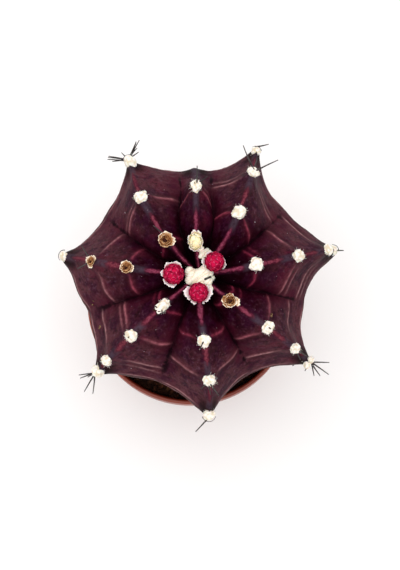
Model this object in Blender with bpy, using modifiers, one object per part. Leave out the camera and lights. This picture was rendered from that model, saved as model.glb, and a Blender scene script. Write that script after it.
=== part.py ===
# Moon cactus on its own root, in a small round plastic pot.
# The seven ribs make a star seen from above, and a short eighth rib ends half way out.
# Metres, +Z up. The origin is on the pot's axis, where its base rests.

import math
import random

import bmesh
import bpy
import numpy as np
from mathutils import Matrix, Vector

MM = 0.001
CLEARANCE = 0.35 * MM  # left between two pieces that touch
SLIVER = 0.02 * MM

# Pot, a moulded 5.5 cm nursery pot
RIM_RADIUS = 27.5 * MM
POT_HEIGHT = 50 * MM
BASE_RADIUS = 19.5 * MM
WALL = 1.1 * MM
LIP_THICKNESS = 1.4 * MM
COLLAR_HEIGHT = 8 * MM
COLLAR_STEP = 1.2 * MM
BASE_EDGE = 0.8 * MM
COLLAR_EDGE = 0.3 * MM
DRAIN_HOLES = 6
DRAIN_RADIUS = 2 * MM
DRAIN_RING = 12.5 * MM
POT_SEGMENTS = 48

# Soil
SOIL_LEVEL = 43.5 * MM
SOIL_BUMP = 0.6 * MM
SOIL_SWELL = 2.0 * MM  # of a wave, for each radian
SOIL_RIPPLE = 1.1 * MM
SOIL_RINGS = 7
SOIL_SEGMENTS = 36

# Where the plant stands: its axis is a little right of and behind the pot's
PLANT_X = 2.4 * MM
PLANT_Y = 3.2 * MM
EQUATOR = 67 * MM  # height of the ribs' furthest tips

# Stem, from the sunken crown over the shoulders to the tips and down to the root, in mm:
# crest radius, crest height, groove radius, groove height, heights counted from the equator
STATIONS = (
    (0.0, 13.5, 0.0, 12.8),
    (6.0, 17.0, 5.2, 13.4),
    (13.0, 18.2, 11.0, 13.0),
    (20.0, 16.4, 16.3, 11.2),
    (27.0, 12.2, 21.0, 7.6),
    (32.3, 6.6, 25.0, 3.0),
    (35.2, 0.0, 27.3, -2.0),
    (33.0, -7.0, 26.5, -7.5),
    (27.5, -13.0, 23.0, -13.0),
    (20.5, -17.5, 18.0, -17.7),
    (14.6, -22.5, 13.6, -22.5),
    (11.2, -28.0, 11.2, -28.0),
    (7.0, -33.0, 7.0, -33.0),
    (0.0, -36.0, 0.0, -36.0),
)
TIP_LEVEL = 6  # the station of the tips
STATION_PACE = 7.3 * MM  # along the crest, from one station to the next
COLUMNS = 10  # of the mesh, in each rib
ROWS = (26, 14)  # of the mesh, above and below the tips
CROWN_LEVEL = 2.4  # the wool and the buds rest on the crests, inside this station
CROWN_ROWS = 9
CROWN_PACE = 6.5 * MM  # of the radius, from one station to the next in the crown
CREST_STEPS = 400  # for reading a distance off the crest
ROOT_LEVEL = 9.6  # the soil's hole follows the root from here down
ROOT_ROWS = 12
ROOT_CLEARANCE = 0.7 * MM

# Flank shapes, as the share of the drop from crest to groove
CREASE_PLANE = 0.75
CREASE_POWER = 4
CREASE_FADES = (2.6, 5.4)  # stations where the sharp groove turns into a smooth hollow
SHORT_RIB_FADES = (3.2, 5.0)

# Ribs, anticlockwise from the right: bearing in degrees at the crown, half way and at the tip,
# the reach of the tip and of the groove that follows it, as a factor of the stations' radius,
# how hollow its flanks are on its right and its left, as a power of the share of the drop,
# and how far its woolly areoles stand from the centre along the crest, in mm
RIBS = (
    {"bearing": (0, 9, 13), "reach": 1.00, "groove": 1.06, "hollow": (2.7, 1.9),
     "areoles": (15.0, 26.4, 37.4, 46.5)},
    {"bearing": (42, 58.5, 67), "reach": 1.04, "groove": 1.055, "hollow": (3.1, 2.7),
     "areoles": (18.4, 30.6, 42.4, 54.0)},
    {"bearing": (100, 92.5, 93), "reach": 1.08, "groove": 1.055, "areoles": (22.0,), "short": True},
    {"bearing": (146, 129.5, 120), "reach": 1.00, "groove": 1.095, "hollow": (2.1, 1.8),
     "areoles": (25.4, 42.2, 54.0)},
    {"bearing": (188, 175.2, 170), "reach": 1.00, "groove": 1.085, "hollow": (2.0, 1.4),
     "areoles": (42.0, 54.0)},
    {"bearing": (224, 222.7, 222.2), "reach": 0.98, "groove": 1.02, "hollow": (1.7, 1.9),
     "areoles": (13.7, 24.5, 35.0, 42.6, 54.0)},
    {"bearing": (265, 274.3, 273.2), "reach": 0.97, "groove": 0.99, "hollow": (1.9, 2.1),
     "areoles": (18.2, 28.8, 42.0, 54.0)},
    {"bearing": (310.5, 320.4, 323), "reach": 0.97, "groove": 1.005, "hollow": (2.2, 2.6),
     "areoles": (23.0, 33.5, 42.8, 54.0)},
)
SHORT_RIB_PINCH = 0.2  # how much nearer the short rib its grooves lie at its end, as a share
SHORT_RIB_PINCHES = (2.0, 4.4)

# Areoles
TUBERCLE_HEIGHT = 1.1 * MM
TUBERCLE_SPREAD = 2.4 * MM
PAD_RADIUS = 1.75 * MM
PAD_THICKNESS = 1.0 * MM
PAD_ROUGHNESS = 0.12

# Spines
SPINE_RADIUS = 0.24 * MM
SPINE_LENGTHS = (4.5 * MM, 8.0 * MM)
SPINE_SPLAYS = (-72, -40, 4, 38, 70)  # degrees from the way the rib runs, in the areole's plane
SPINE_LIFT = 34
SPINE_SCATTER = 8
SPINES_INNER = 3  # left on an areole near the crown, where the outer ones keep them all
OUTER_FROM = 38 * MM  # along the crest
SPINE_SINK = 0.9 * MM

# Flower buds: rib, distance along its crest in mm, radius in mm, and a turn of the bearing
CRIMSON_BUDS = {
    "bud_left": (4, 7.6, 2.5, 0.0),
    "bud_right": (1, 5.6, 2.5, -9.0),
    "bud_front": (6, 6.0, 2.5, -1.0),
}
PALE_BUD = (2, 9.4, 2.1, -1.0)
BUD_RISE = 0.75  # of its radius, how far a bud's middle stands above the crest
BUD_HEIGHT = 1.05
SCALE_ROWS = 3
SCALES_AROUND = 6
SCALE_RELIEF = 0.35 * MM
SCALE_SINK = 0.4  # of the relief, how far the seams lie under the bud's round form
SCALES_REACH = (0.05, 2.2)  # radians from the bud's top
BUD_SEGMENTS = 24
BUD_RINGS = 12

# Dried flowers, shrivelled cups on their pads: rib, distance along its crest in mm, radius in mm
DRIED_FLOWERS = {
    "dried_flower_upper_left": (3, 12.6, 2.2),
    "dried_flower_lower_right": (7, 11.1, 2.1),
    "dried_flower_left_inner": (4, 18.7, 1.8),
    "dried_flower_left_outer": (4, 28.8, 1.5),
}
DRIED_HEIGHT = 0.75  # of the radius
DRIED_HOLLOW = 0.6  # of the height
DRIED_FOLDS = 6
DRIED_FOLD_DEPTH = 0.12  # of the radius
DRIED_RAGGED = 0.16  # of the height
DRIED_PAD_THICKNESS = 0.6 * MM

# Crown wool: tufts in mm from the plant's axis, x, y and radius, and a collar round each bud
CROWN_TUFTS = (
    (0.0, -0.8, 2.3), (-2.3, -0.9, 1.6), (2.3, -0.9, 1.7), (0.6, 1.2, 1.7), (0.9, 3.4, 1.4),
    (0.4, 5.0, 1.4),
)
COLLAR_RADIUS = 0.42  # of the bud's radius, the thickness of the wool round it
COLLAR_SEGMENTS = 12
COLLAR_SIDES = 5
COLLAR_RISE = 0.4 * MM
TUFT_RISE = 0.35  # of its radius, how far a tuft's middle stands above the stem

SPINE_SEED = 7
WOOL_SEED = 10
rng = random.Random(SPINE_SEED)


def clear_scene():
    for item in list(bpy.data.objects):
        bpy.data.objects.remove(item, do_unlink=True)


def new_collection(name):
    collection = bpy.data.collections.new(name)
    bpy.context.scene.collection.children.link(collection)
    return collection


def material(name, color, roughness, metallic=0.0):
    paint = bpy.data.materials.new(name)
    paint.use_nodes = True
    surface = paint.node_tree.nodes["Principled BSDF"]
    surface.inputs["Base Color"].default_value = (*color, 1.0)
    surface.inputs["Roughness"].default_value = roughness
    surface.inputs["Metallic"].default_value = metallic
    return paint


def object_from(bm, name, collection, paint=None):
    mesh = bpy.data.meshes.new(name)
    bm.to_mesh(mesh)
    bm.free()
    item = bpy.data.objects.new(name, mesh)
    collection.objects.link(item)
    if paint:
        mesh.materials.append(paint)
    return item


def shade(item, sharp_above=math.radians(40)):
    item.data.shade_smooth()
    item.data.set_sharp_from_angle(angle=sharp_above)


def smoothstep(value, start, end):
    t = min(max((value - start) / (end - start), 0.0), 1.0)
    return t * t * (3.0 - 2.0 * t)


def through_stations(level):
    # Catmull-Rom through the stations, so that the sections change smoothly
    last = len(STATIONS) - 1
    i = min(int(level), last - 1)
    t = level - i
    a, b, c, d = (np.array(STATIONS[min(max(k, 0), last)]) for k in (i - 1, i, i + 1, i + 2))
    cubic = 2 * b + (c - a) * t + (2 * a - 5 * b + 4 * c - d) * t**2 + (3 * b - a - 3 * c + d) * t**3
    return 0.5 * cubic * MM


def level_at(distance):
    # The station level at a distance along the crest, in mm from the crown
    levels = np.linspace(0, len(STATIONS) - 1, CREST_STEPS)
    crest = np.array([through_stations(level)[:2] for level in levels]) / MM
    along = np.concatenate(([0.0], np.cumsum(np.hypot(*np.diff(crest, axis=0).T))))
    return float(np.interp(distance, along, levels))


def bearing(rib, level):
    # A parabola through the rib's bearings at the crown, half way and at the tip
    crown, middle, tip = RIBS[rib % len(RIBS)]["bearing"]
    t = min(level / TIP_LEVEL, 1.0)
    degrees = crown * 2 * (t - 0.5) * (t - 1) + middle * 4 * t * (1 - t) + tip * 2 * t * (t - 0.5)
    return math.radians(degrees + 360 * (rib // len(RIBS)))


def is_short(rib):
    return RIBS[rib % len(RIBS)].get("short", False)


def groove_place(rib, level):
    # Where the groove lies between this rib's crest, at 0, and the next one's, at 1
    pinch = SHORT_RIB_PINCH * smoothstep(level, *SHORT_RIB_PINCHES)
    return 0.5 + pinch * is_short(rib + 1) - pinch * is_short(rib)


def turn_share(rib, across, level):
    # The share of the turn to the next crest, for a flank position that has the groove at 0.5
    place = groove_place(rib, level)
    if across <= 0.5:
        return across * 2 * place
    return place + (across - 0.5) * 2 * (1 - place)


def reach(rib, across, level):
    near = RIBS[(rib if across < 0.5 else rib + 1) % len(RIBS)]["reach"]
    into_groove = smoothstep(1.0 - abs(1.0 - 2.0 * across), 0.0, 1.0)
    widest = near + (RIBS[rib % len(RIBS)]["groove"] - near) * into_groove
    out = smoothstep(level, 1.0, TIP_LEVEL) * (1.0 - smoothstep(level, TIP_LEVEL, TIP_LEVEL + 3))
    return 1.0 + (widest - 1.0) * out


def hollow(share, rib, side):
    return 1.0 - (1.0 - share) ** RIBS[rib % len(RIBS)]["hollow"][side]


def flank_drop(rib, across, level):
    # 0 on a crest and 1 in a groove; across runs from this rib's crest to the next one's
    from_crest = 1.0 - abs(1.0 - 2.0 * across)
    crease = CREASE_PLANE * from_crest + (1 - CREASE_PLANE) * from_crest**CREASE_POWER
    left = across < 0.5 and not is_short(rib) or is_short(rib + 1)
    near, side = (rib, 1) if left else (rib + 1, 0)
    drop = crease + (hollow(from_crest, near, side) - crease) * smoothstep(level, *CREASE_FADES)
    if is_short(rib) or is_short(rib + 1):
        share = turn_share(rib, across, level)
        wide = hollow(share if left else 1.0 - share, near, side)
        drop += (wide - drop) * smoothstep(level, *SHORT_RIB_FADES)
    return drop


def crest_normal(level):
    # The way out of the crest in its own upright plane, as radius and height
    step = 0.02
    level = min(max(level, 0.5), len(STATIONS) - 1.5)  # at the two poles the crest has no side
    before, after = through_stations(level - step), through_stations(level + step)
    run, rise = after[0] - before[0], after[1] - before[1]
    length = math.hypot(run, rise)
    return -rise / length, run / length


AREOLE_LEVELS = [[level_at(distance) for distance in rib["areoles"]] for rib in RIBS]
for _rib, _distance, _radius in DRIED_FLOWERS.values():
    AREOLE_LEVELS[_rib].append(level_at(_distance))


def tubercle(rib, across, level, radius):
    # The low chin that carries each areole
    height = 0.0
    for near, side in ((rib, across), (rib + 1, 1.0 - across)):
        gap = side * radius * (bearing(rib + 1, level) - bearing(rib, level))
        for own in AREOLE_LEVELS[near % len(RIBS)]:
            run = (level - own) * STATION_PACE
            height += math.exp(-(run**2 + gap**2) / TUBERCLE_SPREAD**2)
    return TUBERCLE_HEIGHT * height


def stem_point(rib, across, level):
    crest_radius, crest_height, groove_radius, groove_height = through_stations(level)
    stretch = reach(rib, across, level)
    drop = flank_drop(rib, across, level)
    radius = (crest_radius + (groove_radius - crest_radius) * drop) * stretch
    height = crest_height + (groove_height - crest_height) * drop
    bump = tubercle(rib, across, level, radius)
    out, up = crest_normal(level)
    radius += bump * out
    height += bump * up
    turn = turn_share(rib, across, level)
    angle = bearing(rib, level) * (1 - turn) + bearing(rib + 1, level) * turn
    return Vector((PLANT_X + radius * math.cos(angle), PLANT_Y + radius * math.sin(angle), EQUATOR + height))


def stem_mesh():
    # A globe whose meridians become crests, flanks and grooves
    around = COLUMNS * len(RIBS)
    rows = sum(ROWS)
    bm = bmesh.new()
    bmesh.ops.create_uvsphere(bm, u_segments=around, v_segments=rows, radius=1.0)
    for vert in bm.verts:
        row = round(math.acos(max(-1.0, min(1.0, vert.co.z))) / math.pi * rows)
        column = round(math.atan2(vert.co.y, vert.co.x) / math.tau * around) % around
        level = float(np.interp(row, (0, ROWS[0], rows), (0, TIP_LEVEL, len(STATIONS) - 1)))
        vert.co = stem_point(column // COLUMNS, (column % COLUMNS) / COLUMNS, level)
    bmesh.ops.recalc_face_normals(bm, faces=bm.faces)
    return bm


def crest_frame(rib, distance, turn=0.0):
    # The place on a rib's crest, with axes across the rib, along it and out of it
    level = level_at(distance)
    spot = stem_point(rib, 0.0, level)
    out, up = crest_normal(level)
    angle = bearing(rib, level)
    normal = Vector((math.cos(angle) * out, math.sin(angle) * out, up)).normalized()
    across = Vector((-math.sin(angle), math.cos(angle), 0.0))
    along = across.cross(normal)
    if turn:
        axis = Vector((PLANT_X, PLANT_Y, 0.0))
        spot = axis + Matrix.Rotation(math.radians(turn), 3, "Z") @ (spot - axis)
    return spot, along, across, normal


def lump(radius, thickness):
    # A tuft of wool: a rough ball, flattened along its own z
    bm = bmesh.new()
    bmesh.ops.create_icosphere(bm, subdivisions=1, radius=1.0)
    for vert in bm.verts:
        vert.co *= 1.0 + rng.uniform(-PAD_ROUGHNESS, PAD_ROUGHNESS)
    bmesh.ops.scale(bm, vec=(radius, radius, thickness), verts=bm.verts)
    return bm


def place(bm, spot, along, across, normal):
    turn = Matrix((along, across, normal)).transposed().to_4x4()
    bmesh.ops.transform(bm, matrix=Matrix.Translation(spot) @ turn, verts=bm.verts)


def spine_mesh(length):
    bm = bmesh.new()
    bmesh.ops.create_cone(bm, cap_ends=True, segments=4, radius1=SPINE_RADIUS, radius2=0.0, depth=length)
    bmesh.ops.translate(bm, vec=(0.0, 0.0, length / 2), verts=bm.verts)
    return bm


def add_spines(rib, distance, collection):
    spot, along, across, normal = crest_frame(rib, distance)
    kept = len(SPINE_SPLAYS) if distance * MM > OUTER_FROM else SPINES_INNER
    splays = sorted(rng.sample(SPINE_SPLAYS, kept))
    for number, splay in enumerate(splays):
        swing = math.radians(splay + rng.uniform(-SPINE_SCATTER, SPINE_SCATTER))
        lift = math.radians(SPINE_LIFT + rng.uniform(-SPINE_SCATTER, SPINE_SCATTER))
        length = rng.uniform(*SPINE_LENGTHS)
        flat = along * math.cos(swing) + across * math.sin(swing)
        way = (flat * math.cos(lift) + normal * math.sin(lift)).normalized()
        bm = spine_mesh(length + SPINE_SINK)
        turn = way.to_track_quat("Z", "Y").to_matrix().to_4x4()
        root = spot + normal * PAD_THICKNESS * 0.5 - way * SPINE_SINK
        bmesh.ops.transform(bm, matrix=Matrix.Translation(root) @ turn, verts=bm.verts)
        object_from(bm, f"spine_{rib}_{round(distance)}_{number}", collection)


def add_pad(rib, distance, thickness, collection):
    spot, along, across, normal = crest_frame(rib, distance)
    bm = lump(PAD_RADIUS, thickness)
    place(bm, spot, along, across, normal)
    object_from(bm, f"pad_{rib}_{round(distance)}", collection)


def apply_modifiers(item):
    bpy.context.view_layer.update()
    evaluated = item.evaluated_get(bpy.context.evaluated_depsgraph_get())
    mesh = bpy.data.meshes.new_from_object(evaluated)
    item.modifiers.clear()
    item.data = mesh


def remove_collection(collection):
    for item in list(collection.objects):
        bpy.data.objects.remove(item, do_unlink=True)
    bpy.data.collections.remove(collection)


def fuse(item, collection):
    union = item.modifiers.new("fuse", "BOOLEAN")
    union.operation = "UNION"
    union.operand_type = "COLLECTION"
    union.collection = collection
    union.solver = "EXACT"
    apply_modifiers(item)
    remove_collection(collection)


def cut(item, *cutters):
    for cutter in cutters:
        difference = item.modifiers.new("cut", "BOOLEAN")
        difference.operation = "DIFFERENCE"
        difference.object = cutter
        difference.solver = "EXACT"
    apply_modifiers(item)


def keep_largest(item):
    # Welds the slivers of a cut and keeps the largest of the bodies that it left
    bm = bmesh.new()
    bm.from_mesh(item.data)
    bmesh.ops.remove_doubles(bm, verts=bm.verts, dist=SLIVER)
    bmesh.ops.dissolve_degenerate(bm, edges=bm.edges, dist=SLIVER)
    left = set(bm.verts)
    bodies = []
    while left:
        body, front = set(), [left.pop()]
        while front:
            vert = front.pop()
            body.add(vert)
            near = {edge.other_vert(vert) for edge in vert.link_edges} & left
            left -= near
            front.extend(near)
        bodies.append(body)
    largest = max(bodies, key=len)
    bmesh.ops.delete(bm, geom=[vert for vert in bm.verts if vert not in largest], context="VERTS")
    bm.to_mesh(item.data)
    bm.free()


def hide_cutter(item):
    item.hide_render = True
    item.display_type = "WIRE"
    return item


def turned(name, profile, segments, collection, paint=None):
    # A profile in the XZ plane, run down its outer side and turned about Z
    bm = bmesh.new()
    verts = [bm.verts.new((x, 0.0, z)) for x, z in profile]
    for first, second in zip(verts, verts[1:]):
        bm.edges.new((first, second))
    item = object_from(bm, name, collection, paint)
    screw = item.modifiers.new("turn", "SCREW")
    screw.steps = segments
    screw.render_steps = segments
    screw.use_merge_vertices = True
    screw.merge_threshold = 0.00001
    return item


def pot_outer_radius(height):
    # The wall below the collar, from the base edge up
    top = RIM_RADIUS - COLLAR_STEP
    return BASE_RADIUS + (top - BASE_RADIUS) * height / (POT_HEIGHT - COLLAR_HEIGHT)


def pot_inner_radius(height):
    if height < POT_HEIGHT - COLLAR_HEIGHT:
        return pot_outer_radius(height) - WALL
    return RIM_RADIUS - LIP_THICKNESS


def rounded(center_x, center_z, radius, start, end, steps):
    return [
        (center_x + radius * math.cos(math.radians(a)), center_z + radius * math.sin(math.radians(a)))
        for a in np.linspace(start, end, steps)
    ]


def pot_profile():
    collar_foot = POT_HEIGHT - COLLAR_HEIGHT
    lip = LIP_THICKNESS / 2
    inside = [
        (0.0, WALL),
        (pot_outer_radius(WALL) - WALL, WALL),
        (pot_outer_radius(collar_foot) - WALL, collar_foot - COLLAR_STEP / 2),
        (RIM_RADIUS - LIP_THICKNESS, collar_foot + COLLAR_STEP / 2),
    ]
    rim = rounded(RIM_RADIUS - lip, POT_HEIGHT - lip, lip, 180, 0, 7)
    outside = [
        (RIM_RADIUS - COLLAR_EDGE / 2, collar_foot + COLLAR_EDGE),
        (RIM_RADIUS - COLLAR_EDGE * 1.5, collar_foot),
        (pot_outer_radius(collar_foot), collar_foot - COLLAR_EDGE / 2),
        (pot_outer_radius(BASE_EDGE), BASE_EDGE),
        (BASE_RADIUS - BASE_EDGE, 0.0),
        (0.0, 0.0),
    ]
    return inside + rim + outside


def make_pot(parts, cutters):
    clay = material("pot_plastic", (0.36, 0.085, 0.05), 0.45)
    pot = turned("pot", pot_profile(), POT_SEGMENTS, parts, clay)
    holes = []
    for number in range(DRAIN_HOLES):
        angle = math.tau * number / DRAIN_HOLES
        bm = bmesh.new()
        bmesh.ops.create_cone(
            bm, cap_ends=True, segments=16, radius1=DRAIN_RADIUS, radius2=DRAIN_RADIUS, depth=4 * WALL
        )
        spot = (DRAIN_RING * math.cos(angle), DRAIN_RING * math.sin(angle), WALL / 2)
        bmesh.ops.translate(bm, vec=spot, verts=bm.verts)
        holes.append(hide_cutter(object_from(bm, f"cutter_drain_{number}", cutters)))
    cut(pot, *holes)
    shade(pot)


def soil_height(x, y):
    # Two crossing swells and a finer ripple across them
    across, along, ripple = x / SOIL_SWELL, y / SOIL_SWELL, (1.4 * x - y) / SOIL_RIPPLE
    wave = math.sin(across + 1.0) * math.cos(along - 0.6) + math.sin(ripple) / 2
    return SOIL_LEVEL + SOIL_BUMP * wave / 1.5


def make_soil(parts, cutters):
    earth = material("soil_peat", (0.035, 0.02, 0.014), 0.95)
    edge = pot_inner_radius(SOIL_LEVEL) - CLEARANCE
    foot = pot_outer_radius(WALL + CLEARANCE) - WALL - 2 * CLEARANCE
    shoulder = POT_HEIGHT - COLLAR_HEIGHT - COLLAR_STEP
    top = [(edge * k / SOIL_RINGS, SOIL_LEVEL) for k in range(SOIL_RINGS + 1)]
    side = [(pot_outer_radius(shoulder) - WALL - 2 * CLEARANCE, shoulder), (foot, WALL + CLEARANCE)]
    soil = turned("soil", top + side + [(0.0, WALL + CLEARANCE)], SOIL_SEGMENTS, parts, earth)
    apply_modifiers(soil)
    for vert in soil.data.vertices:
        if vert.co.z > SOIL_LEVEL - MM:
            vert.co.z = soil_height(vert.co.x, vert.co.y)
    root = [through_stations(level) for level in np.linspace(ROOT_LEVEL, len(STATIONS) - 1, ROOT_ROWS)]
    wall = [(crest_radius + ROOT_CLEARANCE, height) for crest_radius, height, *_groove in root]
    wall[-1] = (0.0, wall[-1][1] - ROOT_CLEARANCE)
    hole = turned("cutter_root", [(0.0, wall[0][1])] + wall, SOIL_SEGMENTS, cutters)
    hole.location = (PLANT_X, PLANT_Y, EQUATOR)
    cut(soil, hide_cutter(hole))
    shade(soil)


def make_cactus(parts):
    skin = material("cactus_skin", (0.075, 0.022, 0.035), 0.55)
    cactus = object_from(stem_mesh(), "cactus", parts, skin)
    grown = new_collection("areoles")
    for rib, row in enumerate(RIBS):
        for distance in row["areoles"]:
            add_pad(rib, distance, PAD_THICKNESS, grown)
            add_spines(rib, distance, grown)
    for rib, distance, _radius in DRIED_FLOWERS.values():
        add_pad(rib, distance, DRIED_PAD_THICKNESS, grown)
    fuse(cactus, grown)
    shade(cactus)
    return cactus


def scale_relief(polar, around):
    # Overlapping scales in staggered rows, each proud at its upper rim, down to the bud's foot
    if not SCALES_REACH[0] < polar < SCALES_REACH[1]:
        return 0.0
    row = polar / math.pi * 2 * SCALE_ROWS
    index = math.floor(row)
    in_row = row - index
    turn = around / math.tau * SCALES_AROUND + 0.5 * (index % 2)
    from_middle = abs((turn % 1.0) - 0.5) * 2
    return (1.0 - in_row) * (1.0 - from_middle**2) - SCALE_SINK


def bud_frame(place_on_rib):
    rib, distance, radius, turn = place_on_rib
    spot, _along, _across, _normal = crest_frame(rib, distance, turn)
    middle = spot + Vector((0.0, 0.0, BUD_RISE * radius * MM))
    return middle, radius * MM


def bud_mesh(place_on_rib, grown=0.0, relief=SCALE_RELIEF):
    middle, radius = bud_frame(place_on_rib)
    bm = bmesh.new()
    bmesh.ops.create_uvsphere(bm, u_segments=BUD_SEGMENTS, v_segments=BUD_RINGS, radius=1.0)
    for vert in bm.verts:
        polar = math.acos(max(-1.0, min(1.0, vert.co.z)))
        around = math.atan2(vert.co.y, vert.co.x) % math.tau
        vert.co = vert.co * (radius + relief * scale_relief(polar, around) + grown)
        vert.co.z *= BUD_HEIGHT
    bmesh.ops.translate(bm, vec=middle, verts=bm.verts)
    return bm


def crown_cutter(cutters):
    # The turned space under the crests, which the wool and the buds stay clear of
    crest = [through_stations(level)[:2] for level in np.linspace(0, CROWN_LEVEL, CROWN_ROWS)]
    profile = [(radius, height + CLEARANCE) for radius, height in crest]
    space = turned("cutter_crown", profile + [(profile[-1][0], 0.0), (0.0, 0.0)], POT_SEGMENTS, cutters)
    space.location = (PLANT_X, PLANT_Y, EQUATOR)
    return hide_cutter(space)


def make_buds(parts, cutters, crown):
    crimson = material("bud_crimson", (0.45, 0.015, 0.06), 0.5)
    pale = material("bud_pale", (0.8, 0.66, 0.36), 0.6)
    spaces = []
    for name, spot in (*CRIMSON_BUDS.items(), ("bud_pale", PALE_BUD)):
        paint = pale if name == "bud_pale" else crimson
        bud = object_from(bud_mesh(spot), name, parts, paint)
        cut(bud, crown)
        shade(bud)
        space = bud_mesh(spot, grown=CLEARANCE + SCALE_RELIEF * (1 - SCALE_SINK), relief=0.0)
        spaces.append(hide_cutter(object_from(space, "cutter_" + name, cutters)))
    return spaces


def crest_height(x, y):
    # Height of the ribs' crests over a place in the crown, counted from the plant's axis
    return EQUATOR + through_stations(math.hypot(x, y) / CROWN_PACE)[1]


def collar_mesh(place_on_rib):
    # A rough ring of wool that a bud stands in
    middle, radius = bud_frame(place_on_rib)
    thickness = radius * COLLAR_RADIUS
    bm = bmesh.new()
    turn = Matrix.Rotation(math.pi / 2, 3, "X")
    bmesh.ops.create_circle(bm, segments=COLLAR_SIDES, radius=thickness)
    bmesh.ops.rotate(bm, cent=(0, 0, 0), matrix=turn, verts=bm.verts)
    bmesh.ops.translate(bm, vec=(radius, 0.0, 0.0), verts=bm.verts)
    bmesh.ops.spin(
        bm, geom=bm.verts[:] + bm.edges[:], cent=(0, 0, 0), axis=(0, 0, 1), angle=math.tau,
        steps=COLLAR_SEGMENTS, use_merge=True,
    )
    bmesh.ops.recalc_face_normals(bm, faces=bm.faces)
    for vert in bm.verts:
        vert.co += Vector([rng.uniform(-1, 1) * PAD_ROUGHNESS * thickness * 2 for _axis in range(3)])
        x, y = middle.x + vert.co.x, middle.y + vert.co.y
        vert.co = (x, y, vert.co.z + COLLAR_RISE + crest_height(x - PLANT_X, y - PLANT_Y))
    return bm


def make_crown_wool(parts, crown, bud_spaces):
    rng.seed(WOOL_SEED)
    wool = material("crown_wool", (0.9, 0.86, 0.72), 0.9)
    tufts = new_collection("tufts")
    for number, (x, y, radius) in enumerate(CROWN_TUFTS):
        bm = lump(radius * MM, radius * MM)
        height = crest_height(x * MM, y * MM) + TUFT_RISE * radius * MM
        bmesh.ops.translate(bm, vec=(PLANT_X + x * MM, PLANT_Y + y * MM, height), verts=bm.verts)
        object_from(bm, f"tuft_{number}", tufts)
    for number, spot in enumerate((*CRIMSON_BUDS.values(), PALE_BUD)):
        object_from(collar_mesh(spot), f"collar_{number}", tufts)
    body = tufts.objects["tuft_0"]
    tufts.objects.unlink(body)
    parts.objects.link(body)
    body.name = "crown_wool"
    body.data.materials.append(wool)
    fuse(body, tufts)
    cut(body, crown, *bud_spaces)
    keep_largest(body)
    shade(body)


def dried_mesh(radius):
    # A shrivelled flower: a folded cup with a ragged rim, its profile as shares of radius and height
    height = radius * DRIED_HEIGHT
    floor = 1.0 - DRIED_HOLLOW
    outside = [(0.0, 0.0), (0.55, 0.0), (0.8, 0.3), (1.0, 0.8), (1.02, 1.0)]
    inside = [(0.86, 1.02), (0.62, 0.75), (0.4, floor), (0.0, floor)]
    profile = outside + inside
    rings = len(profile) - 1
    segments = 3 * DRIED_FOLDS
    bm = bmesh.new()
    bmesh.ops.create_uvsphere(bm, u_segments=segments, v_segments=rings, radius=1.0)
    for vert in bm.verts:
        ring = rings - round(math.acos(max(-1.0, min(1.0, vert.co.z))) / math.pi * rings)
        around = math.atan2(vert.co.y, vert.co.x)
        out, up = profile[ring]
        fold = math.cos(DRIED_FOLDS * around) + math.cos(2 * around + radius / MM) / 2
        reach_out = radius * out * (1.0 + DRIED_FOLD_DEPTH * fold * up)
        rim = DRIED_RAGGED * math.sin(DRIED_FOLDS * around + 1.0) * (up > 0.9)
        vert.co = (reach_out * math.cos(around), reach_out * math.sin(around), height * (up + rim))
    bmesh.ops.recalc_face_normals(bm, faces=bm.faces)
    return bm


def make_dried_flowers(parts):
    brown = material("dried_petals", (0.16, 0.07, 0.03), 0.8)
    pad_top = DRIED_PAD_THICKNESS * (1 + PAD_ROUGHNESS)
    for name, (rib, distance, radius) in DRIED_FLOWERS.items():
        spot, along, across, normal = crest_frame(rib, distance)
        bm = dried_mesh(radius * MM)
        place(bm, spot + normal * (pad_top + CLEARANCE), along, across, normal)
        shade(object_from(bm, name, parts, brown))


def main():
    clear_scene()
    parts = new_collection("potted_moon_cactus")
    cutters = new_collection("cutters")
    make_pot(parts, cutters)
    make_soil(parts, cutters)
    make_cactus(parts)
    crown = crown_cutter(cutters)
    bud_spaces = make_buds(parts, cutters, crown)
    make_crown_wool(parts, crown, bud_spaces)
    make_dried_flowers(parts)


main()
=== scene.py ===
# Potted moon cactus: its looks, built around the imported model. Metres, +Z up.
import math
import random

import bmesh
import bpy
import numpy as np
from mathutils import Matrix, Vector
from mathutils.bvhtree import BVHTree


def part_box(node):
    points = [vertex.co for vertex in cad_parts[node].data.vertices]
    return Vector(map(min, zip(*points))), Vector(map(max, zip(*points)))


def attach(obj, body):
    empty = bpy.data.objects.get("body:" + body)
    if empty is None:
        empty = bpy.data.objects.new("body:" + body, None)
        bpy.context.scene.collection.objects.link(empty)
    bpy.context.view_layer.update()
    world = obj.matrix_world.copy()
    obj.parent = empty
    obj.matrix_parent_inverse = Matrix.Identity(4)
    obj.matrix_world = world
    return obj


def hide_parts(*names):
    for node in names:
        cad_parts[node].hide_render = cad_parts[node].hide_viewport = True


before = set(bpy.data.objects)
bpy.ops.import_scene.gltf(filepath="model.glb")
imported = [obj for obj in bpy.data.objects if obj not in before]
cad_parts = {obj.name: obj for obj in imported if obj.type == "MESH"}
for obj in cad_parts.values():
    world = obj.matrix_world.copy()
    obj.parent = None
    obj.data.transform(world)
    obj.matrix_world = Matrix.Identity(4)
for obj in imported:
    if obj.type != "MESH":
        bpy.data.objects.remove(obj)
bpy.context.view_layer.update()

mm = 0.001


# The stem's form, the same stations and ribs as the solids have

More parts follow.
